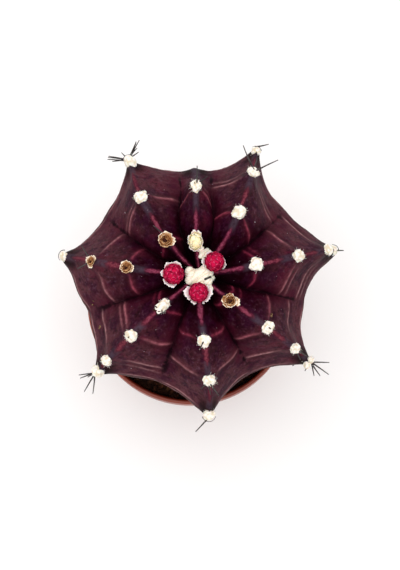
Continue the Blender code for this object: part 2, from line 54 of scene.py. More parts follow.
stem = {
    "axis": (2.4, 3.2),  # mm, a little right of and behind the pot's axis
    "tipHeight": 67,  # mm, where the ribs reach furthest out
    # crest radius, crest height, groove radius, groove height, mm, heights from the tips
    "stations": (
        (0.0, 13.5, 0.0, 12.8), (6.0, 17.0, 5.2, 13.4), (13.0, 18.2, 11.0, 13.0), (20.0, 16.4, 16.3, 11.2),
        (27.0, 12.2, 21.0, 7.6), (32.3, 6.6, 25.0, 3.0), (35.2, 0.0, 27.3, -2.0), (33.0, -7.0, 26.5, -7.5),
        (27.5, -13.0, 23.0, -13.0), (20.5, -17.5, 18.0, -17.7), (14.6, -22.5, 13.6, -22.5),
        (11.2, -28.0, 11.2, -28.0), (7.0, -33.0, 7.0, -33.0), (0.0, -36.0, 0.0, -36.0),
    ),
    "tipLevel": 6,  # the station of the tips
    "reachGrows": (1, 6), "reachFades": (6, 9),  # where a rib takes on its own reach, and where it loses it
    "pace": 7.3,  # mm along the crest between stations
    "creasePlane": 0.75, "creasePower": 4,
    "creaseFades": (2.6, 5.4), "shortRibFades": (3.2, 5.0),
    "shortRibPinch": 0.2, "shortRibPinches": (2.0, 4.4),
    "tipBlunt": 0.05, "tipBlunts": (5.0, 5.9),  # rounds the ribs' tips, as a share of the way to the groove
    "tubercleHeight": 1.1, "tubercleSpread": 2.4,  # mm
    "columns": 40,  # of the mesh, in each rib
    "rows": (132, 70),  # of the mesh, above and below the tips
    "wellAbove": 200,  # mm, where rays that look for the skin start
}

# Each rib, anticlockwise from the right: its bearing at the crown, half way and at the tip, the reach
# of its tip and of the groove after it, how hollow its right and its left flank are, as powers, and its
# areoles' distances along the crest in mm
ribs = (
    {"bearing": (0, 9, 13), "reach": 1.00, "groove": 1.06, "hollow": (2.7, 1.9),
     "areoles": (15.0, 26.4, 37.4, 46.5)},
    {"bearing": (42, 58.5, 67), "reach": 1.04, "groove": 1.055, "hollow": (3.1, 2.7),
     "areoles": (18.4, 30.6, 42.4, 54.0)},
    {"bearing": (100, 92.5, 93), "reach": 1.08, "groove": 1.055, "hollow": (2.3, 2.3),
     "areoles": (22.0,), "short": 1},
    {"bearing": (146, 129.5, 120), "reach": 1.00, "groove": 1.095, "hollow": (2.1, 1.8),
     "areoles": (25.4, 42.2, 54.0)},
    {"bearing": (188, 175.2, 170), "reach": 1.00, "groove": 1.085, "hollow": (2.0, 1.4),
     "areoles": (42.0, 54.0)},
    {"bearing": (224, 222.7, 222.2), "reach": 0.98, "groove": 1.02, "hollow": (1.7, 1.9),
     "areoles": (13.7, 24.5, 35.0, 42.6, 54.0)},
    {"bearing": (265, 274.3, 273.2), "reach": 0.97, "groove": 0.99, "hollow": (1.9, 2.1),
     "areoles": (18.2, 28.8, 42.0, 54.0)},
    {"bearing": (310.5, 320.4, 323), "reach": 0.97, "groove": 1.005, "hollow": (2.2, 2.6),
     "areoles": (23.0, 33.5, 42.8, 54.0)},
)

# Dried flowers: rib, distance along its crest and radius in mm
driedFlowers = {
    "dried_flower_upper_left": (3, 12.6, 2.2),
    "dried_flower_lower_right": (7, 11.1, 2.1),
    "dried_flower_left_inner": (4, 18.7, 1.8),
    "dried_flower_left_outer": (4, 28.8, 1.5),
}

stations = np.array(stem["stations"]) * mm
bearings = np.array([rib["bearing"] for rib in ribs], float)
reaches = np.array([rib["reach"] for rib in ribs])
grooveReaches = np.array([rib["groove"] for rib in ribs])
hollows = np.array([rib["hollow"] for rib in ribs])
shorts = np.array([rib.get("short", 0) for rib in ribs], float)
axisX, axisY = stem["axis"][0] * mm, stem["axis"][1] * mm
ribCount = len(ribs)
lastLevel = len(stations) - 1


def smoothstep(value, start, end):
    t = np.clip((np.asarray(value, float) - start) / (end - start), 0, 1)
    return t * t * (3 - 2 * t)


def throughStations(level):
    # a smooth curve through the stations: crest radius and height, groove radius and height
    level = np.asarray(level, float)
    i = np.minimum(level.astype(int), lastLevel - 1)
    t = (level - i)[..., None]
    a, b, c, d = (stations[np.clip(i + k, 0, lastLevel)] for k in (-1, 0, 1, 2))
    return 0.5 * (2 * b + (c - a) * t + (2 * a - 5 * b + 4 * c - d) * t**2 + (3 * b - a - 3 * c + d) * t**3)


crestLevels = np.linspace(0, lastLevel, 400)
crestCurve = throughStations(crestLevels)[:, :2]
crestRun = np.concatenate(([0], np.cumsum(np.linalg.norm(np.diff(crestCurve, axis=0), axis=1))))


def levelAt(distance):
    return float(np.interp(distance * mm, crestRun, crestLevels))


def bearingAt(rib, level):
    crown, middle, tip = np.moveaxis(bearings[np.asarray(rib) % ribCount], -1, 0)
    t = np.minimum(level / stem["tipLevel"], 1)
    degrees = crown * 2 * (t - 0.5) * (t - 1) + middle * 4 * t * (1 - t) + tip * 2 * t * (t - 0.5)
    return np.radians(degrees + 360 * (np.asarray(rib) // ribCount))


def turnShare(rib, across, level):
    # the share of the turn to the next crest; the groove lies nearer the short rib at its end
    pinch = stem["shortRibPinch"] * smoothstep(level, *stem["shortRibPinches"])
    groove = 0.5 + pinch * (shorts[(rib + 1) % ribCount] - shorts[rib % ribCount])
    return np.where(across <= 0.5, across * 2 * groove, groove + (across - 0.5) * 2 * (1 - groove))


def reachAt(rib, across, level):
    near = reaches[np.where(across < 0.5, rib, rib + 1) % ribCount]
    widest = near + (grooveReaches[rib % ribCount] - near) * smoothstep(1 - abs(1 - 2 * across), 0, 1)
    own = smoothstep(level, *stem["reachGrows"]) * (1 - smoothstep(level, *stem["reachFades"]))
    return 1 + (widest - 1) * own


def flankDrop(rib, across, level):
    # 0 on a crest and 1 in a groove
    blunt = 1e-6 + stem["tipBlunt"] * smoothstep(level, *stem["tipBlunts"])
    fromCrest = (np.hypot(1 - abs(1 - 2 * across), blunt) - blunt) / (np.hypot(1, blunt) - blunt)
    crease = stem["creasePlane"] * fromCrest + (1 - stem["creasePlane"]) * fromCrest ** stem["creasePower"]
    shortHere, shortNext = shorts[rib % ribCount], shorts[(rib + 1) % ribCount]
    onLeft = (across < 0.5) & (shortHere == 0) | (shortNext > 0)
    power = np.where(onLeft, hollows[rib % ribCount, 1], hollows[(rib + 1) % ribCount, 0])
    drop = crease + (1 - (1 - fromCrest) ** power - crease) * smoothstep(level, *stem["creaseFades"])
    share = turnShare(rib, across, level)
    wide = 1 - (1 - np.where(onLeft, share, 1 - share)) ** power
    return drop + (wide - drop) * smoothstep(level, *stem["shortRibFades"]) * (shortHere + shortNext)


def crestNormal(level):
    step = 0.02
    level = np.clip(level, 0.5, lastLevel - 0.5)  # clear of both poles
    run = throughStations(level + step) - throughStations(level - step)
    length = np.hypot(run[..., 0], run[..., 1])
    return -run[..., 1] / length, run[..., 0] / length


areoleLevels = [[levelAt(distance) for distance in rib["areoles"]] for rib in ribs]
for flowerRib, flowerDistance, _ in driedFlowers.values():
    areoleLevels[flowerRib].append(levelAt(flowerDistance))


def stemPoint(rib, across, level):
    # a point of the skin, for numbers or for whole arrays of them
    rib, across, level = np.broadcast_arrays(rib, np.asarray(across, float), np.asarray(level, float))
    crestRadius, crestHeight, grooveRadius, grooveHeight = np.moveaxis(throughStations(level), -1, 0)
    drop = flankDrop(rib, across, level)
    radius = (crestRadius + (grooveRadius - crestRadius) * drop) * reachAt(rib, across, level)
    height = crestHeight + (grooveHeight - crestHeight) * drop
    here, following = bearingAt(rib, level), bearingAt(rib + 1, level)
    bump = np.zeros(np.shape(level))
    for near, side in ((rib, across), (rib + 1, 1 - across)):
        gap = side * radius * (following - here)
        for number, levels in enumerate(areoleLevels):
            for own in levels:
                run = (level - own) * stem["pace"] * mm
                chin = np.exp(-(run**2 + gap**2) / (stem["tubercleSpread"] * mm) ** 2)
                bump = bump + np.where(near % ribCount == number, chin, 0) * stem["tubercleHeight"] * mm
    out, up = crestNormal(level)
    radius, height = radius + bump * out, height + bump * up
    angle = here + (following - here) * turnShare(rib, across, level)
    return np.stack((axisX + radius * np.cos(angle), axisY + radius * np.sin(angle),
                     stem["tipHeight"] * mm + height), axis=-1)


def crestFrame(rib, distance):
    # a place on a crest, with axes along the rib, across it and out of it
    level = levelAt(distance)
    spot = Vector(stemPoint(rib, 0, level))
    out, up = (float(part) for part in crestNormal(level))
    angle = float(bearingAt(rib, level))
    normal = Vector((math.cos(angle) * out, math.sin(angle) * out, up)).normalized()
    across = Vector((-math.sin(angle), math.cos(angle), 0))
    return spot, across.cross(normal), across, normal


# Small helpers

def linear(code):
    # an sRGB hex colour as the shader's linear numbers
    parts = [int(code[i:i + 2], 16) / 255 for i in (1, 3, 5)]
    return (*[part / 12.92 if part <= 0.04045 else ((part + 0.055) / 1.055) ** 2.4 for part in parts], 1)


def fillSockets(tree, node, inputs):
    # each socket takes a number, a hex colour or the output that feeds it
    for socket, value in inputs.items():
        if isinstance(value, bpy.types.NodeSocket):
            tree.links.new(value, node.inputs[socket])
        else:
            node.inputs[socket].default_value = linear(value) if isinstance(value, str) else value


def addNode(tree, kind, gives, inputs={}, settings={}):
    # adds a shader node and returns one of its outputs
    node = tree.nodes.new("ShaderNode" + kind)
    for name, value in settings.items():
        if name != "stops":
            setattr(node, name, value)
            continue
        while len(node.color_ramp.elements) < len(value):
            node.color_ramp.elements.new(0.5)
        for element, (place, code) in zip(node.color_ramp.elements, value):
            element.position, element.color = place, linear(code)
    fillSockets(tree, node, inputs)
    return node.outputs[gives]


def newMaterial(name, settings):
    made = bpy.data.materials.new(name)
    made.use_nodes = True
    surface = made.node_tree.nodes["Principled BSDF"]
    fillSockets(made.node_tree, surface, settings)
    return made, made.node_tree, surface


def mottledMaterial(name, settings, size, stops, noise={"Detail": 3.0}, bump=()):
    # a surface whose colour runs along a ramp in soft spots; their size and the bump's depth are in mm
    made, tree, surface = newMaterial(name, settings)
    place = addNode(tree, "TexCoord", "Object")
    spots = addNode(tree, "TexNoise", "Fac", {"Vector": place, "Scale": 1 / (size * mm), **noise})
    color = addNode(tree, "ValToRGB", "Color", {"Fac": spots}, {"stops": stops})
    fillSockets(tree, surface, {"Base Color": color})
    if bump:
        relief = {"Height": spots, "Strength": bump[0], "Distance": bump[1] * mm}
        fillSockets(tree, surface, {"Normal": addNode(tree, "Bump", "Normal", relief)})
    return made


def addObject(name, content):
    made = bpy.data.objects.new(name, content)
    bpy.context.scene.collection.objects.link(made)
    return made


def shapeOf(bm, name="shape"):
    mesh = bpy.data.meshes.new(name)
    bm.to_mesh(mesh)
    bm.free()
    return mesh


def finishPiece(name, bm, material, stands=(), sharp=None, attributes={}):
    # turns a bmesh into a piece of the object that rides on its one body
    mesh = shapeOf(bm, name)
    for label, values in attributes.items():
        mesh.attributes.new(label, "FLOAT", "POINT").data.foreach_set("value", values.astype(np.float32))
    mesh.materials.append(material)
    piece = addObject(name, mesh)
    mesh.shade_smooth()
    if sharp:
        mesh.set_sharp_from_angle(angle=math.radians(sharp))
    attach(piece, "root")
    if stands:
        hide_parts(*stands)
    print(name, len(mesh.polygons), "faces")


def applied(piece):
    # a bmesh of the piece as its modifiers leave it; the piece itself goes
    bpy.context.view_layer.update()
    mesh = bpy.data.meshes.new_from_object(piece.evaluated_get(bpy.context.evaluated_depsgraph_get()))
    bpy.data.objects.remove(piece)
    bm = bmesh.new()
    bm.from_mesh(mesh)
    return bm


def turned(profile, segments, merge):
    # a profile of radii and heights, turned round the pot's axis; points closer than merge become one
    bm = bmesh.new()
    verts = [bm.verts.new((x, 0, z)) for x, z in profile]
    edges = [bm.edges.new(pair) for pair in zip(verts, verts[1:])]
    bmesh.ops.spin(bm, geom=verts + edges, cent=(0, 0, 0), axis=(0, 0, 1), angle=math.tau, steps=segments,
                   use_merge=True)
    bmesh.ops.remove_doubles(bm, verts=bm.verts, dist=merge)
    bmesh.ops.recalc_face_normals(bm, faces=bm.faces)
    return bm


def waves(points, size, seed, count=7):
    # a smooth uneven field of about 1 either way: crossing swells of about this size
    draw = np.random.default_rng(seed)
    total = np.zeros(len(points))
    for _ in range(count):
        way = draw.normal(size=3)
        way *= math.tau / size / np.linalg.norm(way) * draw.uniform(0.7, 1.5)
        total += np.sin(points @ way + draw.uniform(0, math.tau))
    return total / math.sqrt(count)


def coordinates(bm):
    return np.array([vert.co for vert in bm.verts])


def moveTo(bm, points):
    for vert, point in zip(bm.verts, points):
        vert.co = point


def ballShape(subdivisions):
    ball = bmesh.new()
    bmesh.ops.create_icosphere(ball, subdivisions=subdivisions, radius=1)
    unit = coordinates(ball)
    return shapeOf(ball), unit


def strandShape(sides, cuts, tip):
    # a straight strand, 1 long and 1 in radius at its root
    bm = bmesh.new()
    bmesh.ops.create_cone(bm, cap_ends=True, segments=sides, radius1=1, radius2=tip, depth=1)
    bmesh.ops.translate(bm, vec=(0, 0, 0.5), verts=bm.verts)
    sideEdges = [edge for edge in bm.edges if abs(edge.verts[0].co.z - edge.verts[1].co.z) > 0.5]
    bmesh.ops.subdivide_edges(bm, edges=sideEdges, cuts=cuts)
    return shapeOf(bm)


def sheetShape(columns, rows):
    # a thin flat sheet: x from -1 to 1 across it, y from 0 at its foot to 1 at its tip, z from 0 to 1
    # through it
    bm = bmesh.new()
    bmesh.ops.create_grid(bm, x_segments=columns, y_segments=rows, size=1)
    outer = bmesh.ops.extrude_face_region(bm, geom=bm.faces[:])["geom"]
    lifted = [part for part in outer if isinstance(part, bmesh.types.BMVert)]
    bmesh.ops.translate(bm, vec=(0, 0, 1), verts=lifted)
    bmesh.ops.recalc_face_normals(bm, faces=bm.faces)
    for vert in bm.verts:
        vert.co.y = (vert.co.y + 1) / 2
    return shapeOf(bm)


def addShape(bm, shape, place):
    # a copy of a shape with each of its points put where place says
    first = len(bm.verts)
    bm.from_mesh(shape)
    bm.verts.ensure_lookup_table()
    for vert in bm.verts[first:]:
        place(vert)


def addStrand(bm, shape, root, way, length, radius, bend):
    # a copy of the strand from its root, carried aside by bend at its tip
    side = way.orthogonal().normalized()
    other = way.cross(side)

    def place(vert):
        x, y, t = vert.co
        vert.co = root + way * (length * t) + bend * t**2 + (side * x + other * y) * radius

    addShape(bm, shape, place)


def randomWay(draw):
    return Vector([draw.gauss(0, 1) for _ in range(3)]).normalized()


def turnTowards(way):
    return way.to_track_quat("Z", "Y").to_matrix()


def skinUnder(x, y, stemTree):
    # the point of the skin right below, and its normal
    return stemTree.ray_cast(Vector((x, y, stem["wellAbove"] * mm)), Vector((0, 0, -1)))[:2]


# Camera, floor and light

view = {
    "target": (2.474, 2.147, 67),  # mm, lands in the middle of the picture
    "elevation": 83,  # degrees, almost straight down
    "distance": 450,  # mm
    "lens": 110.8,
}
studio = {
    "floor": "#f8f7f6", "floorSize": 2.4, "floorHeight": -0.0002,  # m, just under the pot
    "sky": "#ffffff", "skyStrength": 0.78,
    "softboxSize": 1.2, "softboxPower": 6, "softboxAt": (-0.06, 0.05, 0.9), "softboxAim": (0, 0, 0.06),
}


def setCamera():
    lens = bpy.data.cameras.new("camera")
    lens.lens = view["lens"]
    lens.clip_start = 0.01
    camera = addObject("camera", lens)
    tilt = math.radians(view["elevation"])
    target = Vector(view["target"]) * mm
    camera.location = target + Vector((0, -math.cos(tilt), math.sin(tilt))) * view["distance"] * mm
    camera.rotation_euler = (math.pi / 2 - tilt, 0, 0)
    bpy.context.scene.camera = camera
    bpy.context.scene.view_settings.view_transform = "Standard"


def setStudio():
    paper, _, _ = newMaterial("matt_paper_floor", {"Base Color": studio["floor"], "Roughness": 0.9})
    bm = bmesh.new()
    bmesh.ops.create_grid(bm, x_segments=1, y_segments=1, size=studio["floorSize"] / 2)
    floor = addObject("floor", shapeOf(bm))
    floor.data.materials.append(paper)
    floor.location.z = studio["floorHeight"]
    world = bpy.data.worlds.new("studio")
    bpy.context.scene.world = world
    world.use_nodes = True
    sky = world.node_tree.nodes["Background"]
    fillSockets(world.node_tree, sky, {"Color": studio["sky"], "Strength": studio["skyStrength"]})
    softbox = bpy.data.lights.new("softbox", "AREA")
    softbox.shape = "DISK"
    softbox.size = studio["softboxSize"]
    softbox.energy = studio["softboxPower"]
    lamp = addObject("softbox", softbox)
    lamp.location = studio["softboxAt"]
    lamp.rotation_euler = (Vector(studio["softboxAim"]) - lamp.location).to_track_quat("-Z", "Y").to_euler()


# Stem skin: a waxy matt epidermis, dark purple over brown, with pale cross lines and red crests

skin = {
    "seed": 11,
    "lineHeight": 0.16, "coreWidth": 0.34, "haloWidth": 1.2,  # mm, the raised pale lines from each areole
    "lineShift": (-0.3, 0.5), "lineLean": (-0.5, 0.9), "lineWave": 0.22,  # mm
    "lineStrength": (0.6, 1), "lineStarts": (0.12, 0.5), "lineEnds": (0.8, 1.0),  # shares
    "lineGrowsTo": 2.5, "lineFadesFrom": 6.6,  # stations, weaker at the crown and below the tips
    "furrowDepth": 0.12, "furrowShift": 1.2, "furrowWidth": 0.7,  # mm, the furrow beyond each line, sunk and darkened with painted shade
    "crestHeight": 0.18, "crestWidth": 0.9,  # mm
    "swell": 0.16, "swellSize": 9,  # mm, slow unevenness
    "dimple": 0.035, "dimpleSize": 2.1,  # mm
    "doubled": 0.4, "doubleGap": (1.5, 2.6), "doubleStrength": 0.45,  # lines with a fainter one beside them
    "reliefSetsIn": (0.6, 1.6),  # stations
    "fields": ("crestGap", "flank", "lineCore", "lineHalo", "furrow", "phase", "level"),
}


def lineFields(near, side, fromCrest, level):
    # how strongly each point belongs to the core and the halo of the pale lines and to the furrow beyond
    draw = random.Random(skin["seed"])
    core, halo, furrow = (np.zeros(level.shape) for _ in range(3))
    for number, levels in enumerate(areoleLevels):
        for own in levels:
            for flank in (0, 1):
                doubled = draw.random() < skin["doubled"]
                shift, lean = draw.uniform(*skin["lineShift"]), draw.uniform(*skin["lineLean"])
                wave = draw.uniform(0, 6)
                power = draw.uniform(*skin["lineStrength"]) * (0.5 + 0.5 * min(own / skin["lineGrowsTo"], 1))
                power *= 1 if own < skin["lineFadesFrom"] else 0.5
                second = draw.uniform(*skin["doubleGap"]), skin["doubleStrength"]
                for aside, share in ((0, 1), second)[:2 if doubled else 1]:
                    curve = lean * fromCrest + skin["lineWave"] * np.sin(fromCrest * 8 + wave)
                    gap = (level - own) * stem["pace"] - shift - aside - curve
                    here = ((near == number) & (side == flank)) * power * share
                    core += here * np.exp(-(gap / skin["coreWidth"]) ** 2)
                    halo += here * np.exp(-(gap / skin["haloWidth"]) ** 2)
                    furrow += here * np.exp(-((gap - skin["furrowShift"]) / skin["furrowWidth"]) ** 2)
    ends = smoothstep(fromCrest, *skin["lineStarts"]) * (1 - smoothstep(fromCrest, *skin["lineEnds"]))
    return core * ends, halo * ends, furrow * ends


def crestPhase(near, level):
    # how far along a crest each point lies between two areoles, from 0 to 1
    phase = np.ones(level.shape)
    for number, levels in enumerate(areoleLevels):
        stops = [1.0] + sorted(levels)
        place = np.interp(level, stops, np.arange(len(stops)), right=len(stops) - 0.01)
        phase = np.where(near == number, place % 1, phase)
    return phase


def makeStem(material):
    columns, (topRows, lowRows) = stem["columns"], stem["rows"]
    around, rows = columns * ribCount, topRows + lowRows
    bm = bmesh.new()
    bmesh.ops.create_uvsphere(bm, u_segments=around, v_segments=rows, radius=1)
    unit = coordinates(bm)
    row = np.round(np.arccos(np.clip(unit[:, 2], -1, 1)) / math.pi * rows).astype(int)
    column = np.round(np.arctan2(unit[:, 1], unit[:, 0]) / math.tau * around).astype(int) % around

    # the whole grid of rows and columns, then each point of the globe picks its own place in it
    gridLevel = np.interp(np.arange(rows + 1), (0, topRows, rows), (0, stem["tipLevel"], lastLevel))[:, None]
    gridColumn = np.arange(around)[None, :]
    gridRib, gridAcross = gridColumn // columns, gridColumn % columns / columns
    grid = stemPoint(gridRib, gridAcross, gridLevel)
    steps = np.linalg.norm(np.roll(grid, -1, axis=1) - grid, axis=2).reshape(rows + 1, ribCount, columns)
    fromLeft = np.cumsum(steps, axis=2) - steps
    crestGap = np.minimum(fromLeft, steps.sum(axis=2, keepdims=True) - fromLeft)
    crestGap = crestGap.reshape(rows + 1, around) / mm

    points, level = grid[row, column], gridLevel[row, 0]
    rib, across = column // columns, column % columns / columns
    near = np.where(across < 0.5, rib, rib + 1) % ribCount
    side = (across < 0.5).astype(int)
    fromCrest = 1 - abs(1 - 2 * across)
    core, halo, furrow = lineFields(near, side, fromCrest, level)
    crest = crestGap[row, column]

    moveTo(bm, points)
    bmesh.ops.recalc_face_normals(bm, faces=bm.faces)
    bm.normal_update()
    normals = np.array([vert.normal for vert in bm.verts])
    onTop = smoothstep(level, *skin["reliefSetsIn"])
    relief = skin["lineHeight"] * core - skin["furrowDepth"] * furrow
    relief += skin["crestHeight"] * np.exp(-(crest / skin["crestWidth"]) ** 2) * onTop
    relief += skin["swell"] * waves(points, skin["swellSize"] * mm, 3) * onTop
    relief += skin["dimple"] * waves(points, skin["dimpleSize"] * mm, 4, 12) * onTop
    moveTo(bm, points + normals * relief[:, None] * mm)
    tree = BVHTree.FromBMesh(bm)

    values = (crest, fromCrest, core, halo, furrow, crestPhase(near, level), level)
    fields = dict(zip(skin["fields"], values))
    finishPiece("stem", bm, material, ("cactus",), attributes=fields)
    return tree


# The skin's colours, each laid over those before it. A mask names a source and the span over which it goes
# from 0 to 1, or from a least to a most share. A source may also stand alone. A layer's masks are multiplied,
# and its colour is one colour, or a mask with the two colours that it goes between.
topSide = ("level", 7.0, 6.2)
dusty = ("level", 1.6, 4, 0.3, 1)
uneven = ("mottle", 0.3, 0.7, 0.55, 1.25)
redShare = ("phase", 0.72, 0.5)
skinPaint = {
    "noises": {  # size in mm and detail
        "broad": (9, 3), "cloud": (3.2, 3), "mottle": (1.1, 4), "speck": (0.6, 3), "grain": (0.35, 2),
    },
    "wobbled": {  # a source, and the noise that is added to it and by how much
        "waveringLevel": ("level", "broad", -0.7, 0.7), "ragged": ("level", "cloud", -0.5, 0.5),
        "wornFlank": ("flank", "cloud", -0.05, 0.03), "crestWobble": ("crestGap", "mottle", -0.3, 0.3),
    },
    # purple near the crown, browner and paler towards the edge of the star; its darkness near the crown is
    # partly painted shade
    "base": (("waveringLevel", 1.6, 5.4), "#22000c", "#522a32"),
    "layers": (
        ((("cloud", 0.42, 0.62, 0, 0.8),), "#2e081f"),
        ((("broad", 0.56, 0.68, 0, 0.5),), "#521326"),
        ((("mottle", 0.52, 0.7, 0, 0.5), dusty), "#5c3d4b"),
        ((("mottle", 0.48, 0.32, 0, 0.6),), "#150007"),
        ((("speck", 0.6, 0.74, 0, 0.35), dusty), "#6e5060"),
        ((("speck", 0.46, 0.34, 0, 0.45),), "#120006"),
        # crimson beside the folds; the near black in the folds and round the crown is partly dark pigment and
        # partly painted shade
        ((("flank", 0.5, 0.85), ("broad", 0.4, 0.58, 0.1, 0.6), ("level", 1.4, 2.6)), "#480d22"),
        ((("flank", 0.62, 1.0, 0, 0.7), ("level", 4.6, 3.2, 0.1, 1)), "#100005"),
        ((("wornFlank", 0.92, 0.99, 0, 0.85), ("level", 5.3, 4.7)), "#0c0004"),
        ((("level", 2.4, 0.9), ("crestGap", 0.5, 1.6)), "#0a0002"),
        # pale lines from each areole, pinker near the crown, each with its furrow, darkened with painted
        # shade
        (("furrow", ("mottle", 0.3, 0.7, 0.33, 0.75)), "#180008"),
        (("lineHalo", ("mottle", 0.3, 0.7, 0.286, 0.65)), (("level", 2, 5), "#541426", "#64343a")),
        (("lineCore", uneven, ("cloud", 0.3, 0.6, 0.45, 0.95)), (("level", 2, 5.2), "#96324a", "#b58688")),
        # nearly black at the tips
        ((("crestGap", 5.0, 1.8), ("level", 4.8, 5.5, 0, 0.92), topSide), "#170909"),
        # crests: a blue-grey saddle before each areole and red after it
        ((("crestWobble", 1.6, 0.4), ("phase", 0.56, 0.74), ("mottle", 0.35, 0.6, 0.35, 0.8), topSide),
         "#453844"),
        ((("crestWobble", 1.0, 0.2, 0, 0.75), redShare, topSide), "#521428"),
        ((("crestWobble", 0.62, 0.0), ("level", 2, 4.5, 1, 0.65), ("speck", 0.35, 0.6, 0.35, 1), redShare,
          topSide), (("level", 1.6, 3.4), "#863a52", "#7e3c46")),
        # a thin olive brown line where the flanks turn under
        ((("level", 5.75, 6.0), ("level", 6.25, 6.05), ("cloud", 0.35, 0.65, 0, 0.45)), "#5c4532"),
        # corky old skin at the foot of the stem
        ((("ragged", 8.6, 10.0),), (("mottle", 0.4, 0.6), "#6e5a44", "#9a8567")),
    ),
    "roughness": ("mottle", 0.3, 0.7, 0.44, 0.62),
    "relief": (0.5, 0.35), "bump": 0.12,  # shares of the mottle and the grain, mm
}


def maskOf(tree, sources, masks):
    # all the masks multiplied
    product = None
    for mask in masks:
        value = sources[mask if isinstance(mask, str) else mask[0]]
        if not isinstance(mask, str):
            span = {"Value": value, **dict(zip(("From Min", "From Max", "To Min", "To Max"), mask[1:]))}
            value = addNode(tree, "MapRange", "Result", span, {"interpolation_type": "SMOOTHSTEP"})
        if product:
            value = addNode(tree, "Math", 0, {0: product, 1: value}, {"operation": "MULTIPLY"})
        product = value
    return product


def skinMaterial():
    # a living epidermis under wax: matt, a soft sheen, purple pigment over brown, darkest in the folds with
    # painted shade
    made, tree, surface = newMaterial("waxy_cactus_skin", {"IOR": 1.42, "Specular IOR Level": 0.03})
    place = addNode(tree, "TexCoord", "Object")
    sources = {}
    for name in skin["fields"]:
        sources[name] = addNode(tree, "Attribute", "Fac", {}, {"attribute_name": name})
    for name, (size, detail) in skinPaint["noises"].items():
        sources[name] = addNode(tree, "TexNoise", "Fac", {
            "Vector": place, "Scale": 1 / (size * mm), "Detail": detail, "Roughness": 0.6})
    for name, (source, noise, least, most) in skinPaint["wobbled"].items():
        wobble = maskOf(tree, sources, ((noise, 0.3, 0.7, least, most),))
        sources[name] = addNode(tree, "Math", 0, {0: sources[source], 1: wobble}, {"operation": "ADD"})
    color = None
    for masks, paint in ((None, skinPaint["base"]), *skinPaint["layers"]):
        if not isinstance(paint, str):
            mask, first, second = paint
            amount = maskOf(tree, sources, (mask,))
            paint = addNode(tree, "Mix", 2, {0: amount, 6: first, 7: second}, {"data_type": "RGBA"})
        if masks:
            amount = maskOf(tree, sources, masks)
            paint = addNode(tree, "Mix", 2, {0: amount, 6: color, 7: paint}, {"data_type": "RGBA"})
        color = paint
    coarse, fine = skinPaint["relief"]
    height = addNode(tree, "Math", 0, {0: sources["mottle"], 1: coarse}, {"operation": "MULTIPLY"})
    height = {0: sources["grain"], 1: fine, 2: height}
    height = addNode(tree, "Math", 0, height, {"operation": "MULTIPLY_ADD"})
    bump = {"Height": height, "Strength": 0.5, "Distance": skinPaint["bump"] * mm}
    fillSockets(tree, surface, {
        "Base Color": color, "Roughness": maskOf(tree, sources, (skinPaint["roughness"],)),
        "Normal": addNode(tree, "Bump", "Normal", bump)})
    return made


# Wool of the areoles: dense felt that breaks up into small curls

areole = {
    "radius": 1.8, "thickness": 1.1,  # mm
    "curls": 44, "curlHeight": 0.15, "curlSpread": 0.03,  # on each pad; shares of its radius
    "lump": 0.09, "lumpSize": 1.4, "fluff": 0.02, "fluffSize": 0.35, "uneven": (0.96, 1.05),  # shares
    "tipsFrom": 41, "tipsTo": 47, "tipThickness": 1.2, "tipLift": 0.8,  # mm, the pads at the tips look up
    "tipSize": 0.9, "lowSize": 0.8,  # shares, at the tips and below them
    "hairs": 40, "hairLength": (0.3, 0.7), "hairRadius": 0.045,  # mm, real hairs are finer and would not show
    "hairRoots": 0.86,  # share of the way from the pad's middle to its surface
    "fuzz": 0.16, "flecks": 0.34,  # mm, the felt's finest grain, and brown dead bits caught in some pads
    "fleckWidth": 0.6, "fleckHeight": 0.4,  # shares of their length
    "seed": 21,
}
# Pads unlike the rest: rib and areole, then their length and width as shares, how far they are carried along
# the rib and up in mm, and the brown flecks on them: along and across in mm, and size
padsThatDiffer = {
    (0, 1): {"size": (0.96, 0.9)},
    (0, 2): {"size": (0.86, 0.84)},
    (0, 3): {"size": (1.0, 0.9), "ahead": -1.3, "lift": 1.4},
    (1, 1): {"size": (0.94, 0.94)},
    (1, 2): {"size": (0.78, 0.84), "ahead": -1.0},
    (2, 0): {"size": (1.02, 0.84), "flecks": ((0.2, 0.3, 0.7),)},
    (3, 1): {"size": (1.2, 1.05), "ahead": -0.6},
    (4, 0): {"size": (0.72, 0.84), "ahead": -0.4},
    (5, 0): {"size": (1.25, 0.76), "flecks": (
        (1.5, 0.5, 1.2), (1.9, -0.1, 1.5), (1.3, -0.8, 1.2), (2.1, 0.6, 1.3), (0.9, 0.9, 0.9),
        (2.2, -0.7, 1.0))},
    (5, 1): {"size": (0.94, 0.94), "flecks": ((0.1, 0.0, 0.8),)},
    (5, 2): {"size": (0.84, 0.86), "ahead": 0.5},
    (5, 3): {"size": (0.95, 1.15), "ahead": -0.4},
    (6, 0): {"size": (1.0, 1.0), "flecks": ((1.2, -0.9, 1.3), (1.5, -0.5, 0.9), (1.6, 0.2, 0.8))},
    (6, 1): {"size": (0.93, 0.93)},
    (6, 2): {"size": (1.0, 1.0), "flecks": ((-1.3, 0.3, 1), (-1.1, 0.9, 1), (-1.4, -0.4, 1.2))},
    (7, 0): {"size": (0.92, 0.92), "flecks": ((-0.1, 0.1, 1.3),)},
    (7, 1): {"size": (0.82, 0.8)},
}
splitPads = {(7, 2): ((0.6, 0.53, 0), (0.6, -1.23, 0))}  # size as a share, shift across and along in mm


